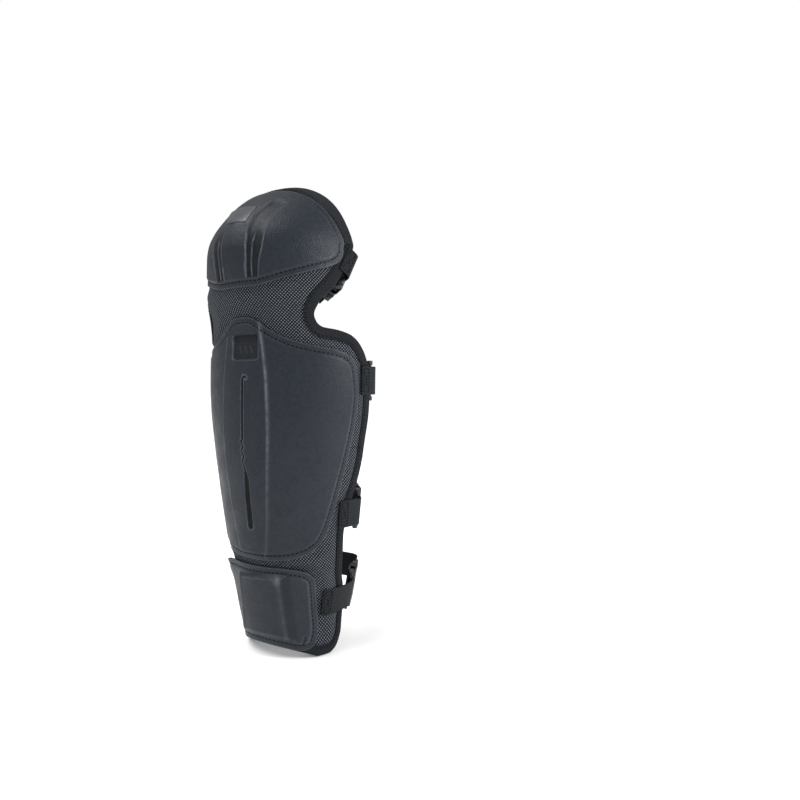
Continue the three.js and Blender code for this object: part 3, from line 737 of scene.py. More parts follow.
def shell(name, body, node, edge, knots, counts, spacing, relief, lift):
    """One moulded plate and the thread that sews it on.

    On each side of its middle the mesh has `counts` columns between the angles `knots`, which
    are numbers or functions of height, and then to the flange, the lip and the edge."""
    s_rows = rows_of(edge, spacing)
    reach = smooth(edge)(s_rows)
    per_degree = norm(steps(reach * 0.98, s_rows)[0], axis=1)
    lip, flange = 1.6 / per_degree, 11 / per_degree
    inner = [k(s_rows) if callable(k) else np.full(len(s_rows), float(k)) for k in knots]
    room = np.maximum(reach - np.minimum(flange, 0.3 * reach), 0.5 * reach)
    fit = np.minimum(1, 0.92 * room / np.maximum(inner[-1], 1e-6))
    columns = [np.zeros(len(s_rows))] + [k * fit for k in inner]
    columns += [room, reach - np.minimum(lip, 0.1 * reach), reach]
    t = spread(counts, columns)
    s = np.repeat(s_rows[:, None], t.shape[1], 1)
    d = edge_distance(surface(t, s), edge)
    # The relief's second value is painted light: above 0 painted shade, below 0 painted highlight.
    height, hollow = relief(t, s)
    raised = height * step(d, 1.2, SEAM_INSET)
    off = lift(t, s)
    outer = SHELL_RIM[1] + rim_profile(d) + raised + off
    gap = (SHELL_BODY[0] - SHELL_RIM[0]) * step(d, 4, 14) + 0.4 * (1 - step(d, 0, 0.9))
    inner_face = SHELL_RIM[0] + gap + off
    inner_face = np.minimum(inner_face, outer - 0.7 * step(d, 0, 1))
    around = outer[:-2, 1:-1] + outer[2:, 1:-1] + outer[1:-1, :-2] + outer[1:-1, 2:]
    crest = np.pad(outer[1:-1, 1:-1] - 0.25 * around, 1)
    # Paler marks: partly wear along the lip and on crests, partly painted highlight where the relief's
    # value is below 0; none in the painted shade.
    wear = 0.3 * hump(d - 0.8, 0.6) + np.clip(crest - 0.02, 0, 1) * 3.5
    wear = np.clip(wear * np.clip(1 - 1.6 * hollow, 0, 1) + np.maximum(-hollow, 0), 0, 1)
    # Painted shade along the pressed seam line, added to the relief's painted shade.
    seam_line = 0.12 * hump(d - SEAM_INSET, 1.0)
    hollow = np.clip(hollow + seam_line, 0, 1)
    made = slab(name, t, s, outer, inner_face, SHELL, wear=wear, hollow=hollow)
    declare(made, body, "shell", node)
    path = outline(edge, 1.2)
    inward = inward_of(np.concatenate([path, path[:2]]))[:-2]
    seam = np.stack(step_inside(path[:, 0], path[:, 1], inward, SEAM_INSET), -1)
    seam = even(np.concatenate([seam, seam[:1]]), STITCH_PITCH)[:-1]
    t, s = seam[:, 0], seam[:, 1]
    sew(f"{name}_stitches", body, t, s, SHELL_RIM[1] - 0.42 + relief(t, s)[0] + lift(t, s))


def sew(name, body, t, s, height):
    """Thread stitches along a closed seam, at a height above the surface, riding on a body."""
    centres = layer(t, s, height)
    along = np.roll(centres, -1, 0) - np.roll(centres, 1, 0)
    out = normal(t, s)
    along = unit(along - out * np.sum(along * out, 1)[:, None])
    points, faces = stitches(centres, along, out, SHELL_STITCH)
    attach(make(name, points, faces, THREAD), body)


def shells():
    """The three plates; knots and counts are for `shell`."""
    shell("shin_plate", "shin", "shin_shell", SHIN_SHELL_EDGE,
          [5.5, lambda s: SHIN_RIDGE(s) - 2, lambda s: SHIN_RIDGE(s) + 2], [12, 9, 6, 34, 9, 4],
          1.25, shin_relief, no_lift)
    shell("knee_cap", "knee", "knee_shell", KNEE_SHELL_EDGE,
          [9, lambda s: KNEE_HIGH(s) + 2], [7, 22, 26, 9, 4], 1.2, knee_relief, no_lift)
    shell("instep_plate", "ankle", "ankle_shell", ANKLE_SHELL_EDGE,
          [14, 33], [12, 20, 12, 8, 4], 1.2, ankle_relief, ankle_lift)


def knee_label():
    """The blank moulded label on top of the knee cap."""
    u, v = np.meshgrid(np.linspace(0.04, 0.96, 25), np.linspace(0.05, 0.95, 21))
    low_left, low_right, top_right, top_left = (np.array(corner, float) for corner in LABEL)
    bottom = low_left + (low_right - low_left) * u[..., None]
    top = top_left + (top_right - top_left) * u[..., None]
    place = bottom + (top - bottom) * v[..., None]
    rim = np.maximum(np.abs(2 * u - 1), np.abs(2 * v - 1))
    outer = SHELL_BODY[1] + 1.5 - 0.5 * step(rim, 0.84, 0.92) - 0.25 * hump(rim - 0.76, 0.04)
    inner = np.full(u.shape, SHELL_BODY[1] + 0.3)
    made = slab("knee_label", place[..., 0], place[..., 1], outer, inner, PATCH)
    declare(made, "knee", "patch", "knee_patch")


# ---- pad -----------------------------------------------------------------------------------
PAD_COLUMNS = 60
COARSE_ROWS, COARSE_COLUMNS = 90, 24
CLOTH_FRAMES = 20
CLOTH = {
    "quality": 6, "mass": 0.3, "tension_stiffness": 12, "compression_stiffness": 12,
    "shear_stiffness": 6, "bending_stiffness": 6, "shrink_min": -0.006, "use_pressure": True,
    "uniform_pressure_force": 0.5, "vertex_group_mass": "held",
}


def pad_grid(s_rows, columns=PAD_COLUMNS):
    """(t, s) over the whole pad, with `columns` columns on each side of its middle."""
    reach = smooth(PAD_EDGE)(s_rows)
    t = spread([columns], [np.zeros(len(s_rows)), reach])
    return t, np.repeat(s_rows[:, None], t.shape[1], 1)


def seam_distances(t, s):
    """Distance to the pad's edge, and to the nearest shell seam, for each point."""
    points = surface(t, s)
    pad = edge_distance(points, PAD_EDGE)
    return pad, np.minimum.reduce([edge_distance(points, edge) for edge in SHELL_EDGES])


def under_shells(t, s):
    """1 well inside a shell's outline and 0 outside it."""
    covered = np.zeros(t.shape)
    for edge in SHELL_EDGES:
        within = (s > edge[0][0]) & (s < edge[-1][0])
        covered = np.maximum(covered, within * step(smooth(edge)(s) - np.abs(t), 0, 3))
    return covered


def simulated_ripples(s_rows):
    """How slack cloth settles over the filled pad, held at the binding and the seams.

    Returns how far the front and the lining move outwards, in mm, on a coarse grid."""
    t, s = pad_grid(s_rows, COARSE_COLUMNS)
    edge, seam = seam_distances(t, s)
    faces = [layer(t, s, np.full(t.shape, offset)).reshape(-1, 3) for offset in (0.0, LINING[0])]
    points = np.concatenate(faces)
    puffed = make("puff", points, slab_faces(*t.shape), FOAM_LOOK)
    held = np.concatenate([((edge < 9) | (seam < 5)).ravel()] * 2)
    group = puffed.vertex_groups.new(name="held")
    group.add(np.flatnonzero(held).tolist(), 1.0, "REPLACE")
    cloth = puffed.modifiers.new("Cloth", "CLOTH")
    for setting, value in CLOTH.items():
        setattr(cloth.settings, setting, value)
    cloth.settings.effector_weights.gravity = 0
    cloth.collision_settings.use_collision = False
    scene = bpy.context.scene
    for span in (scene, cloth.point_cache):
        span.frame_start, span.frame_end = 1, CLOTH_FRAMES
    for number in range(1, CLOTH_FRAMES + 1):
        scene.frame_set(number)
    bpy.context.view_layer.update()
    done = puffed.evaluated_get(bpy.context.evaluated_depsgraph_get())
    moved = np.empty(len(points) * 3, np.float32)
    done.data.vertices.foreach_get("co", moved)
    out = normal(t, s).reshape(-1, 3)
    change = moved.reshape(-1, 3) / MM - points
    n = len(out)
    front = np.sum(change[:n] * out, 1).reshape(t.shape)
    back = -np.sum(change[n:] * out, 1).reshape(t.shape)
    bpy.data.objects.remove(puffed)
    scene.frame_set(1)
    return front, back


def finer(coarse, rows, columns):
    """A coarse grid of values read at finer rows and columns, given as shares from 0 to 1."""
    r0 = np.linspace(0, 1, coarse.shape[0])
    c0 = np.linspace(0, 1, coarse.shape[1])
    by_row = np.stack([np.interp(rows, r0, coarse[:, c]) for c in range(coarse.shape[1])], 1)
    return np.stack([np.interp(columns, c0, by_row[r]) for r in range(len(rows))], 0)


def pad():
    """The cover, the foam and the lining, each in an upper and a lower half."""
    s_rows = rows_of(PAD_EDGE, 2.4)
    s_rows = np.unique(np.concatenate([s_rows[np.abs(s_rows - SPLIT) > 1], [SPLIT]]))
    t, s = pad_grid(s_rows)
    edge, seam = seam_distances(t, s)
    swell = step(edge, 8, 17) * step(seam, 3, 14)
    front, back = COVER_PUFF * swell, LINING_PUFF * swell
    rows, columns = (np.linspace(0, 1, count) for count in t.shape)
    picks = np.interp(np.linspace(0, 1, COARSE_ROWS), rows, s_rows)
    free = step(edge, 8, 14)
    ripples = [free * finer(moved, rows, columns) for moved in simulated_ripples(picks)]
    front = np.clip(SWELL_SHARE * front + ripples[0], 0, COVER_PUFF)
    back = np.clip(SWELL_SHARE * back + ripples[1], 0, LINING_PUFF)
    front = front * (1 - (1 - PUFF_UNDER_SHELL) * under_shells(t, s))
    outer = 0.3 + 0.5 * step(edge, 4, 9) + front
    halves = {"upper": s_rows >= SPLIT, "lower": s_rows <= SPLIT}
    nodes = {
        "upper": (["knee_mesh_cover", "knee_bend_bridge"], ["knee_lining"], ["knee_foam_core"]),
        "lower": (["shin_mesh_cover", "ankle_mesh_cover", "ankle_bend_bridge"],
                  ["shin_lining", "ankle_lining"], ["shin_foam_core", "ankle_foam_core"]),
    }
    for half, keep in halves.items():
        tt, ss, out, puff = t[keep], s[keep], outer[keep], back[keep]
        cover = slab(f"mesh_cover_{half}", tt, ss, out, out - COVER_THICK, MESH)
        lining = slab(f"lining_{half}", tt, ss, LINING[1] - puff, LINING[0] - puff, KNIT)
        core = (tt, ss, out - COVER_THICK - FOAM_GAP, LINING[1] - puff + FOAM_GAP)
        foam = slab(f"foam_{half}", *(values[:, ::3] for values in core), FOAM_LOOK)
        for piece, slot, replaced in zip((cover, lining, foam), ("mesh", "lining", "foam"), nodes[half]):
            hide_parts(*replaced)
            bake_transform(piece)
        flat, area = flat_size(tt, ss)


def flat_size(t, s):
    """The cloth's cut: its greatest width and length, and its area, in metres."""
    points = surface(t, s) * MM
    across = norm(np.diff(points, axis=1), axis=2).sum(1)
    length = norm(np.diff(points, axis=0), axis=2).sum(0)
    crossed = np.cross(points[1:, 1:] - points[:-1, :-1], points[:-1, 1:] - points[1:, :-1])
    area = 0.5 * norm(crossed, axis=2).sum()
    width, length = float(across.max()), float(length.max())
    return (width, length), float(min(area, width * length))


# ---- binding -------------------------------------------------------------------------------
TAPE_OUT, TAPE_IN, TAPE_THICK, TAPE_BEYOND = 2.2, -13.9, 1.1, 2.9
TAPE_REACH = smooth([
    [0, 8.5], [55, 8.5], [75, 7], [135, 7], [165, 9], [315, 9.5], [335, 8], [352, 8],
    [385, 9.5], [430, 9.5], [450, 12], [465, 16], [485, 18], [503, 18],
])


def tape_section(reach):
    """Outer face of the tape as (distance in from the edge, offset), from front to back."""
    middle, half = (TAPE_OUT + TAPE_IN) / 2, (TAPE_OUT - TAPE_IN) / 2
    corner = 3.4
    points = [
        (reach, TAPE_OUT - TAPE_THICK - 0.2), (reach - 0.15, TAPE_OUT - 0.35),
        (reach - 0.8, TAPE_OUT), (reach * 0.66, TAPE_OUT + 0.15), (reach * 0.33, TAPE_OUT + 0.1),
    ]
    for level, first, last in ((middle + half - corner, 90, 0), (middle - half + corner, 0, -90)):
        for a in np.radians(np.linspace(first, last, 6)):
            inside = corner - TAPE_BEYOND - corner * math.cos(a)
            points.append((inside, level + corner * math.sin(a)))
    return points + [
        (reach * 0.4, TAPE_IN), (reach - 3.8, TAPE_IN), (reach - 3.1, TAPE_IN + 0.35),
        (reach - 3, TAPE_IN + TAPE_THICK + 0.2),
    ]


def binding(name, path, nodes):
    """Tape folded over the pad's edge along a (t, s) path, with two rows of stitches."""
    path = even(path, 2.0)
    inward = inward_of(path)
    for _ in range(3):
        middle = (inward[:-2] + 2 * inward[1:-1] + inward[2:]) / 4
        inward = unit(np.concatenate([inward[:1], middle, inward[-1:]]))
    t, s = path[:, 0], path[:, 1]
    run = lengths(surface(t, s))
    to_cap = edge_distance(surface(t, s), KNEE_SHELL_EDGE) - 0.6
    reach = np.where(s > 440, np.minimum(TAPE_REACH(s), np.maximum(to_cap, 9)), TAPE_REACH(s))
    sections = np.array([tape_section(r) for r in reach])
    outer = []
    for d, offset in sections.transpose(1, 2, 0):
        outer.append(layer(*step_inside(t, s, inward, d), offset))
    outer = np.stack(outer, 1)
    widths = norm(np.diff(outer, axis=1), axis=2).mean(0)
    across = np.concatenate([[0], np.cumsum(widths)])
    inner = shrunk(outer, TAPE_THICK)
    points = np.concatenate([outer.reshape(-1, 3), inner.reshape(-1, 3)])
    uv = np.stack(np.broadcast_arrays(run[:, None], across), -1).reshape(-1, 2)
    faces = slab_faces(*outer.shape[:2])
    facing = np.cross(outer[1, 3] - outer[0, 3], outer[0, 4] - outer[0, 3])
    if facing @ normal(t[:1], s[:1])[0] <= 0:
        faces = faces[:, ::-1]
    made = make(name, points, faces, [TAPE, THREAD], np.concatenate([uv, uv]))
    threads = []
    for inset, offset in ((2.2, TAPE_OUT + 0.1), (5.2, TAPE_IN - 0.05)):
        tt, ss = step_inside(t, s, inward, reach - inset)
        seam = even(np.stack([tt, ss], -1), 4.2)
        centres = layer(seam[:, 0], seam[:, 1], np.full(len(seam), offset))
        out = normal(seam[:, 0], seam[:, 1]) * np.sign(offset)
        along = np.gradient(centres, axis=0)
        along = unit(along - out * np.sum(along * out, 1)[:, None])
        threads.append(stitches(centres, along, out, TAPE_STITCH))
    made = joined(made, threads, 1)
    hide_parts(*nodes)
    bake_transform(made)


def shrunk(grid, thickness):
    """A grid of points moved inwards along the normals of the surface that they span."""
    along = np.gradient(grid, axis=0)
    across = np.gradient(grid, axis=1)
    out = unit(np.cross(along, across))
    middle = grid.mean(axis=1, keepdims=True)
    sign = np.sign(np.sum(out * (grid - middle), axis=(1, 2), keepdims=True))
    return grid - out * sign * thickness


def joined(base, extras, slot):
    """base with more (points, faces) added to it, in the given material slot."""
    parts = [base]
    for number, (points, faces) in enumerate(extras):
        parts.append(make(f"{base.name}_part{number}", points, faces, base.data.materials[slot]))
    with bpy.context.temp_override(active_object=base, object=base, selected_objects=parts,
                                   selected_editable_objects=parts):
        bpy.ops.object.join()
    return base


def bindings():
    """The tape round the pad, in an upper and a lower half that meet at SPLIT."""
    curve = smooth(PAD_EDGE)
    heights = rows_of(PAD_EDGE, 2.0)
    right = [(float(curve(s)), float(s)) for s in heights if abs(s - SPLIT) > 1]
    split = (float(curve(SPLIT)), SPLIT)
    upper = [split] + [p for p in right if p[1] > SPLIT]
    lower = [p for p in right if p[1] < SPLIT] + [split]
    left = [(-t, s) for t, s in upper[::-1]]
    binding("binding_upper", upper + left, ["knee_binding"])
    left = [(-t, s) for t, s in lower[::-1]]
    binding("binding_lower", left + lower,
            ["shin_binding_right", "shin_binding_left", "ankle_binding"])


# ---- stage ---------------------------------------------------------------------------------
VIEW_ANGLE = 36
CAMERA_DISTANCE, CAMERA_HEIGHT = 720, 274.5
CAMERA_SHIFT = (0.13, -0.0075)
FRAME_WIDTH = 896  # seen at the distance of the guard's middle
SENSOR = 36
FLOOR_HALF, FLOOR_GLOW = 40.0, 0.17
AMBIENT = 0.46
SUN_STRENGTH, SUN_WIDTH, SUN_AIM = 2.3, 46, (0.42, 0.62, -1.3)
LIGHT_TARGET = (0, 0, 0.25)
SIDE_LIGHTS = [  # name, place, size, watts
    ("right_rim", (1.15, 0.25, 0.75), 0.7, 13),
    ("back_fill", (-1.2, 1.25, 0.75), 1.6, 10),
]


def stage():
    """The pale floor, the studio light and the camera."""
    far = FLOOR_HALF
    mesh = bpy.data.meshes.new("floor")
    mesh.from_pydata([(-far, -far, 0), (far, -far, 0), (far, far, 0), (-far, far, 0)], [], [range(4)])
    pale = Look("pale_floor", 0.9, 0.0)
    pale.shader.inputs["Base Color"].default_value = (0.93, 0.93, 0.93, 1)
    pale.shader.inputs["Emission Color"].default_value = (1, 1, 1, 1)
    pale.shader.inputs["Emission Strength"].default_value = FLOOR_GLOW
    mesh.materials.append(pale.made)
    linked("floor", mesh)

    world = bpy.data.worlds.new("studio")
    world.use_nodes = True
    tree = world.node_tree
    background = tree.nodes["Background"]
    background.inputs["Color"].default_value = (1, 1, 1, 1)
    seen = put(tree, "LightPath").outputs["Is Camera Ray"]
    strength = put(tree, "MapRange", {0: seen, 1: 0.0, 2: 1.0, 3: AMBIENT, 4: 1.0}).outputs[0]
    tree.links.new(strength, background.inputs["Strength"])
    bpy.context.scene.world = world
    bpy.context.scene.view_settings.view_transform = "Standard"

    sun = bpy.data.lights.new("sun", "SUN")
    sun.energy, sun.angle = SUN_STRENGTH, math.radians(SUN_WIDTH)
    linked("sun", sun).rotation_euler = Vector(SUN_AIM).to_track_quat("-Z", "Y").to_euler()
    for name, place, size, watts in SIDE_LIGHTS:
        light = bpy.data.lights.new(name, "AREA")
        light.size, light.energy = size, watts
        lamp = linked(name, light)
        lamp.location = place
        aim = Vector(LIGHT_TARGET) - Vector(place)
        lamp.rotation_euler = aim.to_track_quat("-Z", "Y").to_euler()
        lamp.visible_glossy = name != "back_fill"

    view = bpy.data.cameras.new("camera")
    view.sensor_width = SENSOR
    view.lens = SENSOR * CAMERA_DISTANCE / FRAME_WIDTH
    view.shift_x, view.shift_y = CAMERA_SHIFT
    view.clip_start = 0.01
    camera = linked("camera", view)
    angle = math.radians(VIEW_ANGLE)
    camera.location = (
        CAMERA_DISTANCE * math.sin(angle) * MM,
        (SHIFT_Y - CAMERA_DISTANCE * math.cos(angle)) * MM,
        CAMERA_HEIGHT * MM,
    )
    camera.rotation_euler = (math.pi / 2, 0, angle)
    bpy.context.scene.camera = camera


# ---- straps and buckles --------------------------------------------------------------------
WEBBING_WIDTH, WEBBING_THICK, WEBBING_LIFT = 29, 1.5, 3.3
# Along a buckle from its bar: the bar's far side, the socket's body and mouth, the plug's end.
BAR, BACK, MOUTH, PLUG_END = 3, 8.6, 26, 31.3
BUCKLE_HALF, BUCKLE_TOP, SOCKET_WALL = 21, 4.5, 1.6
TRAVEL = 20
LOOP_RADIUS, STRAP_LEVEL = 2.9, 1.15  # round the bar, and above or under the buckle's middle
BELOW_KNEE = [
    {"name": name, "body": body, "z": z, "start": start, "drop": drop, "heading": heading, "tail": 36}
    for name, body, z, start, drop, heading in (
        ("calf", "shin", 288.5, 79, 9, (-0.82, 0.572)),
        ("mid", "shin", 152, 70, 14, (-0.62, 0.785)),
        ("ankle", "ankle", 59, 63, 9, (-0.42, 0.908)),
    )
]
KNEE_STRAP = {
    "name": "knee", "angle": 74, "height": 407, "across": (0, 0.566, 0.824), "drop": 8, "turn": 3,
    "tail": 30, "body": "knee",
}


def strap_frame(strap):
    """Where a strap leaves the pad: origin, u along it, v across it, w outwards."""
    if strap is KNEE_STRAP:
        at = strap["angle"], strap["height"]
        origin, out = layer(*at, WEBBING_LIFT), normal(*at)
        v = np.array(strap["across"], float)
        v = unit(v - out * (v @ out))
        leave = np.cross(v, out)
        u = unit(leave - out * strap["turn"])
        return {"origin": origin, "u": u, "v": v, "w": np.cross(u, v), "leave": leave, "edge": None}
    z, half, reach = strap["z"], WEBBING_WIDTH / 2, smooth(PAD_EDGE)
    edge = max(float(reach(z - half)), float(reach(z)), float(reach(z + half))) + 0.5
    low, high = layer(edge, z - half, WEBBING_LIFT), layer(edge, z + half, WEBBING_LIFT)
    v = unit(high - low)
    heading = np.array([*strap["heading"], 0.0])
    u = unit(heading - v * (heading @ v))
    leave = unit(layer(edge, z, 0.0) - layer(edge - 2, z, 0.0))
    return {"origin": (low + high) / 2, "u": u, "v": v, "w": np.cross(u, v), "leave": leave, "edge": edge}


def sewn_end(strap, at):
    """Stations (centre, across, face) of the webbing from its sewn end to where it turns back."""
    origin, v, u, leave = at["origin"], at["v"], at["u"], at["leave"]
    out = np.cross(leave, v)
    stations = []
    if at["edge"] is None:
        stations = [(origin - leave * 7, v, out), (origin, v, out)]
    else:
        half = WEBBING_WIDTH / 2
        count = max(2, round((at["edge"] - strap["start"]) / 7))
        for t in np.linspace(strap["start"], at["edge"], count + 1):
            low = layer(t, strap["z"] - half, WEBBING_LIFT)
            high = layer(t, strap["z"] + half, WEBBING_LIFT)
            stations.append(((low + high) / 2, unit(high - low), normal(t, strap["z"])))
    corner = origin + leave * strap["drop"]
    entry = corner + u * 6
    stations.append((origin + (corner - origin) * 0.75, v, out))
    stations.append((corner + (entry - corner) * 0.25, v, unit(np.cross((leave + u) / 2, v))))
    return stations, entry


def read_along(values, run, at):
    """Points or directions given at the lengths `run`, read at the lengths `at`."""
    return np.stack([np.interp(at, run, values[:, k]) for k in range(3)], -1)


def webbing(name, body, node, stations, sewn):
    """Flat webbing through (centre, across, face) stations, sewn between two lengths along it."""
    centre, across, face = (np.array([station[i] for station in stations]) for i in range(3))
    run = lengths(centre)
    fine = np.linspace(0, run[-1], max(8, round(run[-1] / 1.6)))
    soft = np.linspace(-1.6, 1.6, 5)

    def along(values):
        return np.mean([read_along(values, run, fine + d) for d in soft], axis=0)

    centre, across, face = along(centre), unit(along(across)), unit(along(face))
    half, thick = WEBBING_WIDTH / 2, WEBBING_THICK / 2
    flat = np.linspace(-half + 0.9, half - 0.9, 19)
    edge = 0.16 * hump(np.abs(flat) - half + 1.4, 0.8)
    upper = [(x, thick + e) for x, e in zip(flat, edge)]
    lower = [(x, -thick - e) for x, e in zip(flat[::-1], edge)]
    bend = [(half - 0.35, thick * 0.75), (half, 0), (half - 0.35, -thick * 0.75)]
    section = np.array(upper + bend + lower + [(-x, -y) for x, y in bend])
    points = centre[:, None] + across[:, None] * section[:, :1] + face[:, None] * section[:, 1:]
    run = lengths(centre)
    uv = np.stack(np.broadcast_arrays(run[:, None], section[:, 0] + 20), -1).reshape(-1, 2)
    faces = tube_faces(len(fine), len(section))
    made = make(name, points.reshape(-1, 3), faces, [WEBBING, THREAD], uv)
    made = outward(joined(made, [box_of_stitches(centre, across, face, run, *sewn)], 1))
    declare(made, body, "webbing", node)


def box_of_stitches(centre, across, face, run, low, high):
    """Stitches round a box, and across it both ways, between two lengths along the webbing."""
    half = WEBBING_WIDTH / 2 - 2.6
    corners = [
        (low, -half), (high, -half), (high, half), (low, half),
        (low, -half), (high, half), (high, -half), (low, half),
    ]
    places, ways = [], []
    for (a0, b0), (a1, b1) in zip(corners[:-1], corners[1:]):
        count = max(2, round(math.hypot(a1 - a0, b1 - b0) / 3.0))
        for k in range(count):
            share = (k + 0.5) / count
            places.append((a0 + (a1 - a0) * share, b0 + (b1 - b0) * share))
            ways.append((a1 - a0, b1 - b0))
    places, ways = np.array(places), np.array(ways, float)
    middle, side, out = (read_along(values, run, places[:, 0]) for values in (centre, across, face))
    side, out = unit(side), unit(out)
    middle = middle + side * places[:, 1:] + out * (WEBBING_THICK / 2 + 0.1)
    forward = unit(np.cross(side, out))
    if np.sum(forward[0] * (centre[-1] - centre[0])) < 0:
        forward = -forward
    way = unit(forward * ways[:, :1] + side * ways[:, 1:])
    return stitches(middle, way, out, STRAP_STITCH)


def rounded_outline(corners, radius):
    """A closed outline whose corners are rounded, with four points to a corner."""
    corners = np.array(corners, float)
    line = []
    for before, at, after in zip(np.roll(corners, 1, 0), corners, np.roll(corners, -1, 0)):
        reach = min(radius, 0.45 * norm(before - at), 0.45 * norm(after - at))
        start, end = at + unit(before - at) * reach, at + unit(after - at) * reach
        for x in np.linspace(0, 1, 4):
            line.append((1 - x) ** 2 * start + 2 * x * (1 - x) * at + x * x * end)
    return np.array(line)


def moulded(corners, low, high, radius=1.5, soft=0.5):
    """Points and faces of a plate with rounded corners and edges, in a buckle's own axes."""
    line = rounded_outline(corners, radius)
    turn = np.roll(line, -1, 0) - np.roll(line, 1, 0)
    out = unit(np.stack([turn[:, 1], -turn[:, 0]], -1))
    area = np.sum(line[:, 0] * np.roll(line[:, 1], -1) - np.roll(line[:, 0], -1) * line[:, 1])
    out = out * np.sign(area)
    turns = np.radians([0, 30, 60, 90])
    quarter = [(soft * (1 - math.sin(a)), soft * (1 - math.cos(a))) for a in turns]
    profile = [(soft + 0.3, low)] + [(x, low + y) for x, y in quarter]
    profile += [(y, high - x) for x, y in quarter] + [(soft + 0.3, high)]
    rings = [np.column_stack([line - out * inset, np.full(len(line), w)]) for inset, w in profile]
    return np.concatenate(rings), tube_faces(len(rings), len(line))


def block(low, high, soft=0.5):
    """A box with rounded edges, from its low corner to its high corner."""
    corners = [(low[0], low[1]), (high[0], low[1]), (high[0], high[1]), (low[0], high[1])]
    return moulded(corners, low[2], high[2], 0.8, soft)


def side_blocks(u, v, w, soft):
    """Two blocks over the ranges u, v and w, one on each side of the buckle."""
    sides = (v, (-v[1], -v[0]))
    return [block((u[0], low, w[0]), (u[1], high, w[1]), soft) for low, high in sides]


def socket_parts():
    """Two covers with a back wall and side rails between them, the bar, and the grip ribs."""
    half = BUCKLE_HALF
    lower = [
        (BACK - 0.4, -half), (MOUTH - 4, -half), (MOUTH, -half + 2.5), (MOUTH, -8), (MOUTH - 1.6, -5),
    ]
    cover = lower + [(u, -v) for u, v in lower[::-1]]
    parts = [
        moulded(cover, BUCKLE_TOP - SOCKET_WALL, BUCKLE_TOP, 2.0),
        moulded(cover, -BUCKLE_TOP, -BUCKLE_TOP + SOCKET_WALL, 2.0),
        block((BACK - 0.6, -half + 0.3, -3.6), (BACK + 3.2, half - 0.3, 3.6)),
        block((0, -18, -1.3), (BAR, 18, 1.3), 0.9),
    ]
    parts += side_blocks((0, BACK + 1), (16.3, half), (-2.4, 2.4), 0.8)
    parts += side_blocks((MOUTH - 3.6, MOUTH - 0.3), (half - 1.2, half - 0.1), (-3.4, 3.4), 0.3)
    for u in (12.2, 14.6, 17.0):
        parts.append(block((u, -9.5, BUCKLE_TOP - 0.4), (u + 1.1, 9.5, BUCKLE_TOP + 0.35), 0.3))
    return parts


def plug_parts():
    """The face, the middle guide, and the frame that holds the loose webbing."""
    start, half = MOUTH + 0.3, BUCKLE_HALF
    face = [(start, -half + 1.2), (PLUG_END, -half), (PLUG_END, half), (start, half - 1.2)]
    tail = PLUG_END + 8.7
    parts = [
        moulded(face, -BUCKLE_TOP, BUCKLE_TOP, 1.5, 0.9),
        block((13.5, -3, -2.2), (start + 1, 3, 2.2), 0.5),
    ]
    parts += side_blocks((PLUG_END - 1, tail), (16.8, half), (-2.4, 3.9), 0.8)
    for u in (PLUG_END + 1.6, tail - 2.4):
        parts.append(block((u, -18, 2.3), (u + 2.4, 18, 3.9), 0.6))
    return parts


def prong_parts(side):
    """One latch finger, on the side 1 or -1 of the buckle."""
    finger = [(13, 9.8), (29, 10.6), (29, 13.4), (21.5, 14), (19.8, 19.2), (15.8, 19.2), (13, 15)]
    return [moulded([(u, side * v) for u, v in finger], -2.3, 2.3, 1.4, 0.5)]


def moulding(name, body, node, parts, base, at):
    """A buckle piece, drawn in the strap's axes and put in its place."""
    axes = np.array([at["u"], at["v"], at["w"]])
    points = np.concatenate([shape @ axes + base for shape, _ in parts])
    starts = np.cumsum([0] + [len(shape) for shape, _ in parts[:-1]])
    faces = np.concatenate([faces + start for (_, faces), start in zip(parts, starts)])
    declare(outward(make(name, points, faces, BUCKLE)), body, "buckle", node)


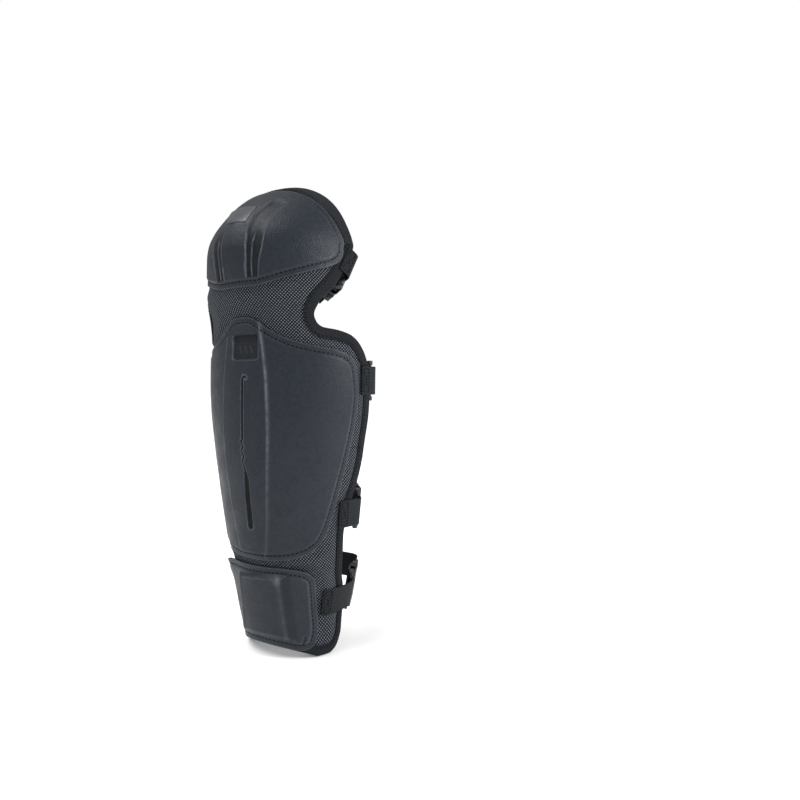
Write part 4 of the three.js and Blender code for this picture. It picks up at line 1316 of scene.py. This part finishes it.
def strap_set(strap):
    """One strap: sewn tab, buckle, loose tail and the length round the back of the leg.

    The length round the back is drawn to the middle of the leg and mirrored from there."""
    name, body, at = strap["name"], strap["body"], strap_frame(strap)
    u, v, w = at["u"], at["v"], at["w"]
    stations, entry = sewn_end(strap, at)
    bar = entry - w * LOOP_RADIUS + u * (BAR / 2)
    base = bar - u * (BAR / 2)
    tab = list(stations)
    for a in np.radians([90, 60, 30, 0, -30, -60, -90]):
        face = u * math.cos(a) + w * math.sin(a)
        tab.append((bar + face * LOOP_RADIUS, v, face))
    tab.append((bar - w * LOOP_RADIUS - u * 5, v, -w))
    webbing(f"{name}_sewn_tab", body, f"{name}_tab", tab, (2, 11))
    moulding(f"{name}_buckle_socket", body, f"{name}_socket", socket_parts(), base, at)
    plug_body = f"{name}_plug_part"
    moulding(f"{name}_buckle_plug", plug_body, f"{name}_plug", plug_parts(), base, at)
    for side, word in ((1, "upper"), (-1, "lower")):
        moulding(f"{name}_buckle_prong_{word}", f"{name}_prong_{word}_part", f"{name}_prong_{word}",
                 prong_parts(side), base, at)

    def on(distance, height):
        return base + u * distance + w * height

    length = strap["tail"]
    tail = [(on(PLUG_END + past, STRAP_LEVEL), v, w) for past in (0.4, length)]
    webbing(f"{name}_loose_tail", plug_body, f"{name}_tail", tail, (length - 8, length - 3))
    loop = [(on(PLUG_END + past, -STRAP_LEVEL), v, w) for past in (TRAVEL + 1, 44)]
    # Behind the leg the webbing turns from the buckle's direction to straight across.
    across = np.array([-1.0, 0, 0])
    bend = on(PLUG_END + 54, -STRAP_LEVEL)
    reach = max(2, bend[0] - 7)
    for mix, inward in ((0.3, 0), (0.7, 0.6)):
        level = unit(v + (np.array([0, v[1], v[2]]) - v) * inward)
        face = unit(np.cross(unit(u + (across - u) * mix), level))
        loop.append((bend + u * (-4 + 6 * inward) + across * (bend[0] - reach) * inward, level, face))
    flip = np.array([-1, 1, 1])
    far = [tuple(part * flip for part in station) for station in (stations + loop[1:])[::-1]]
    whole = loop + far
    run = lengths(np.array([station[0] for station in whole]))[-1]
    webbing(f"{name}_back_strap", body, f"{name}_strap", whole, (run - 11, run - 2))


stage()
shells()
knee_label()
pad()
bindings()
for strap in [KNEE_STRAP, *BELOW_KNEE]:
    strap_set(strap)
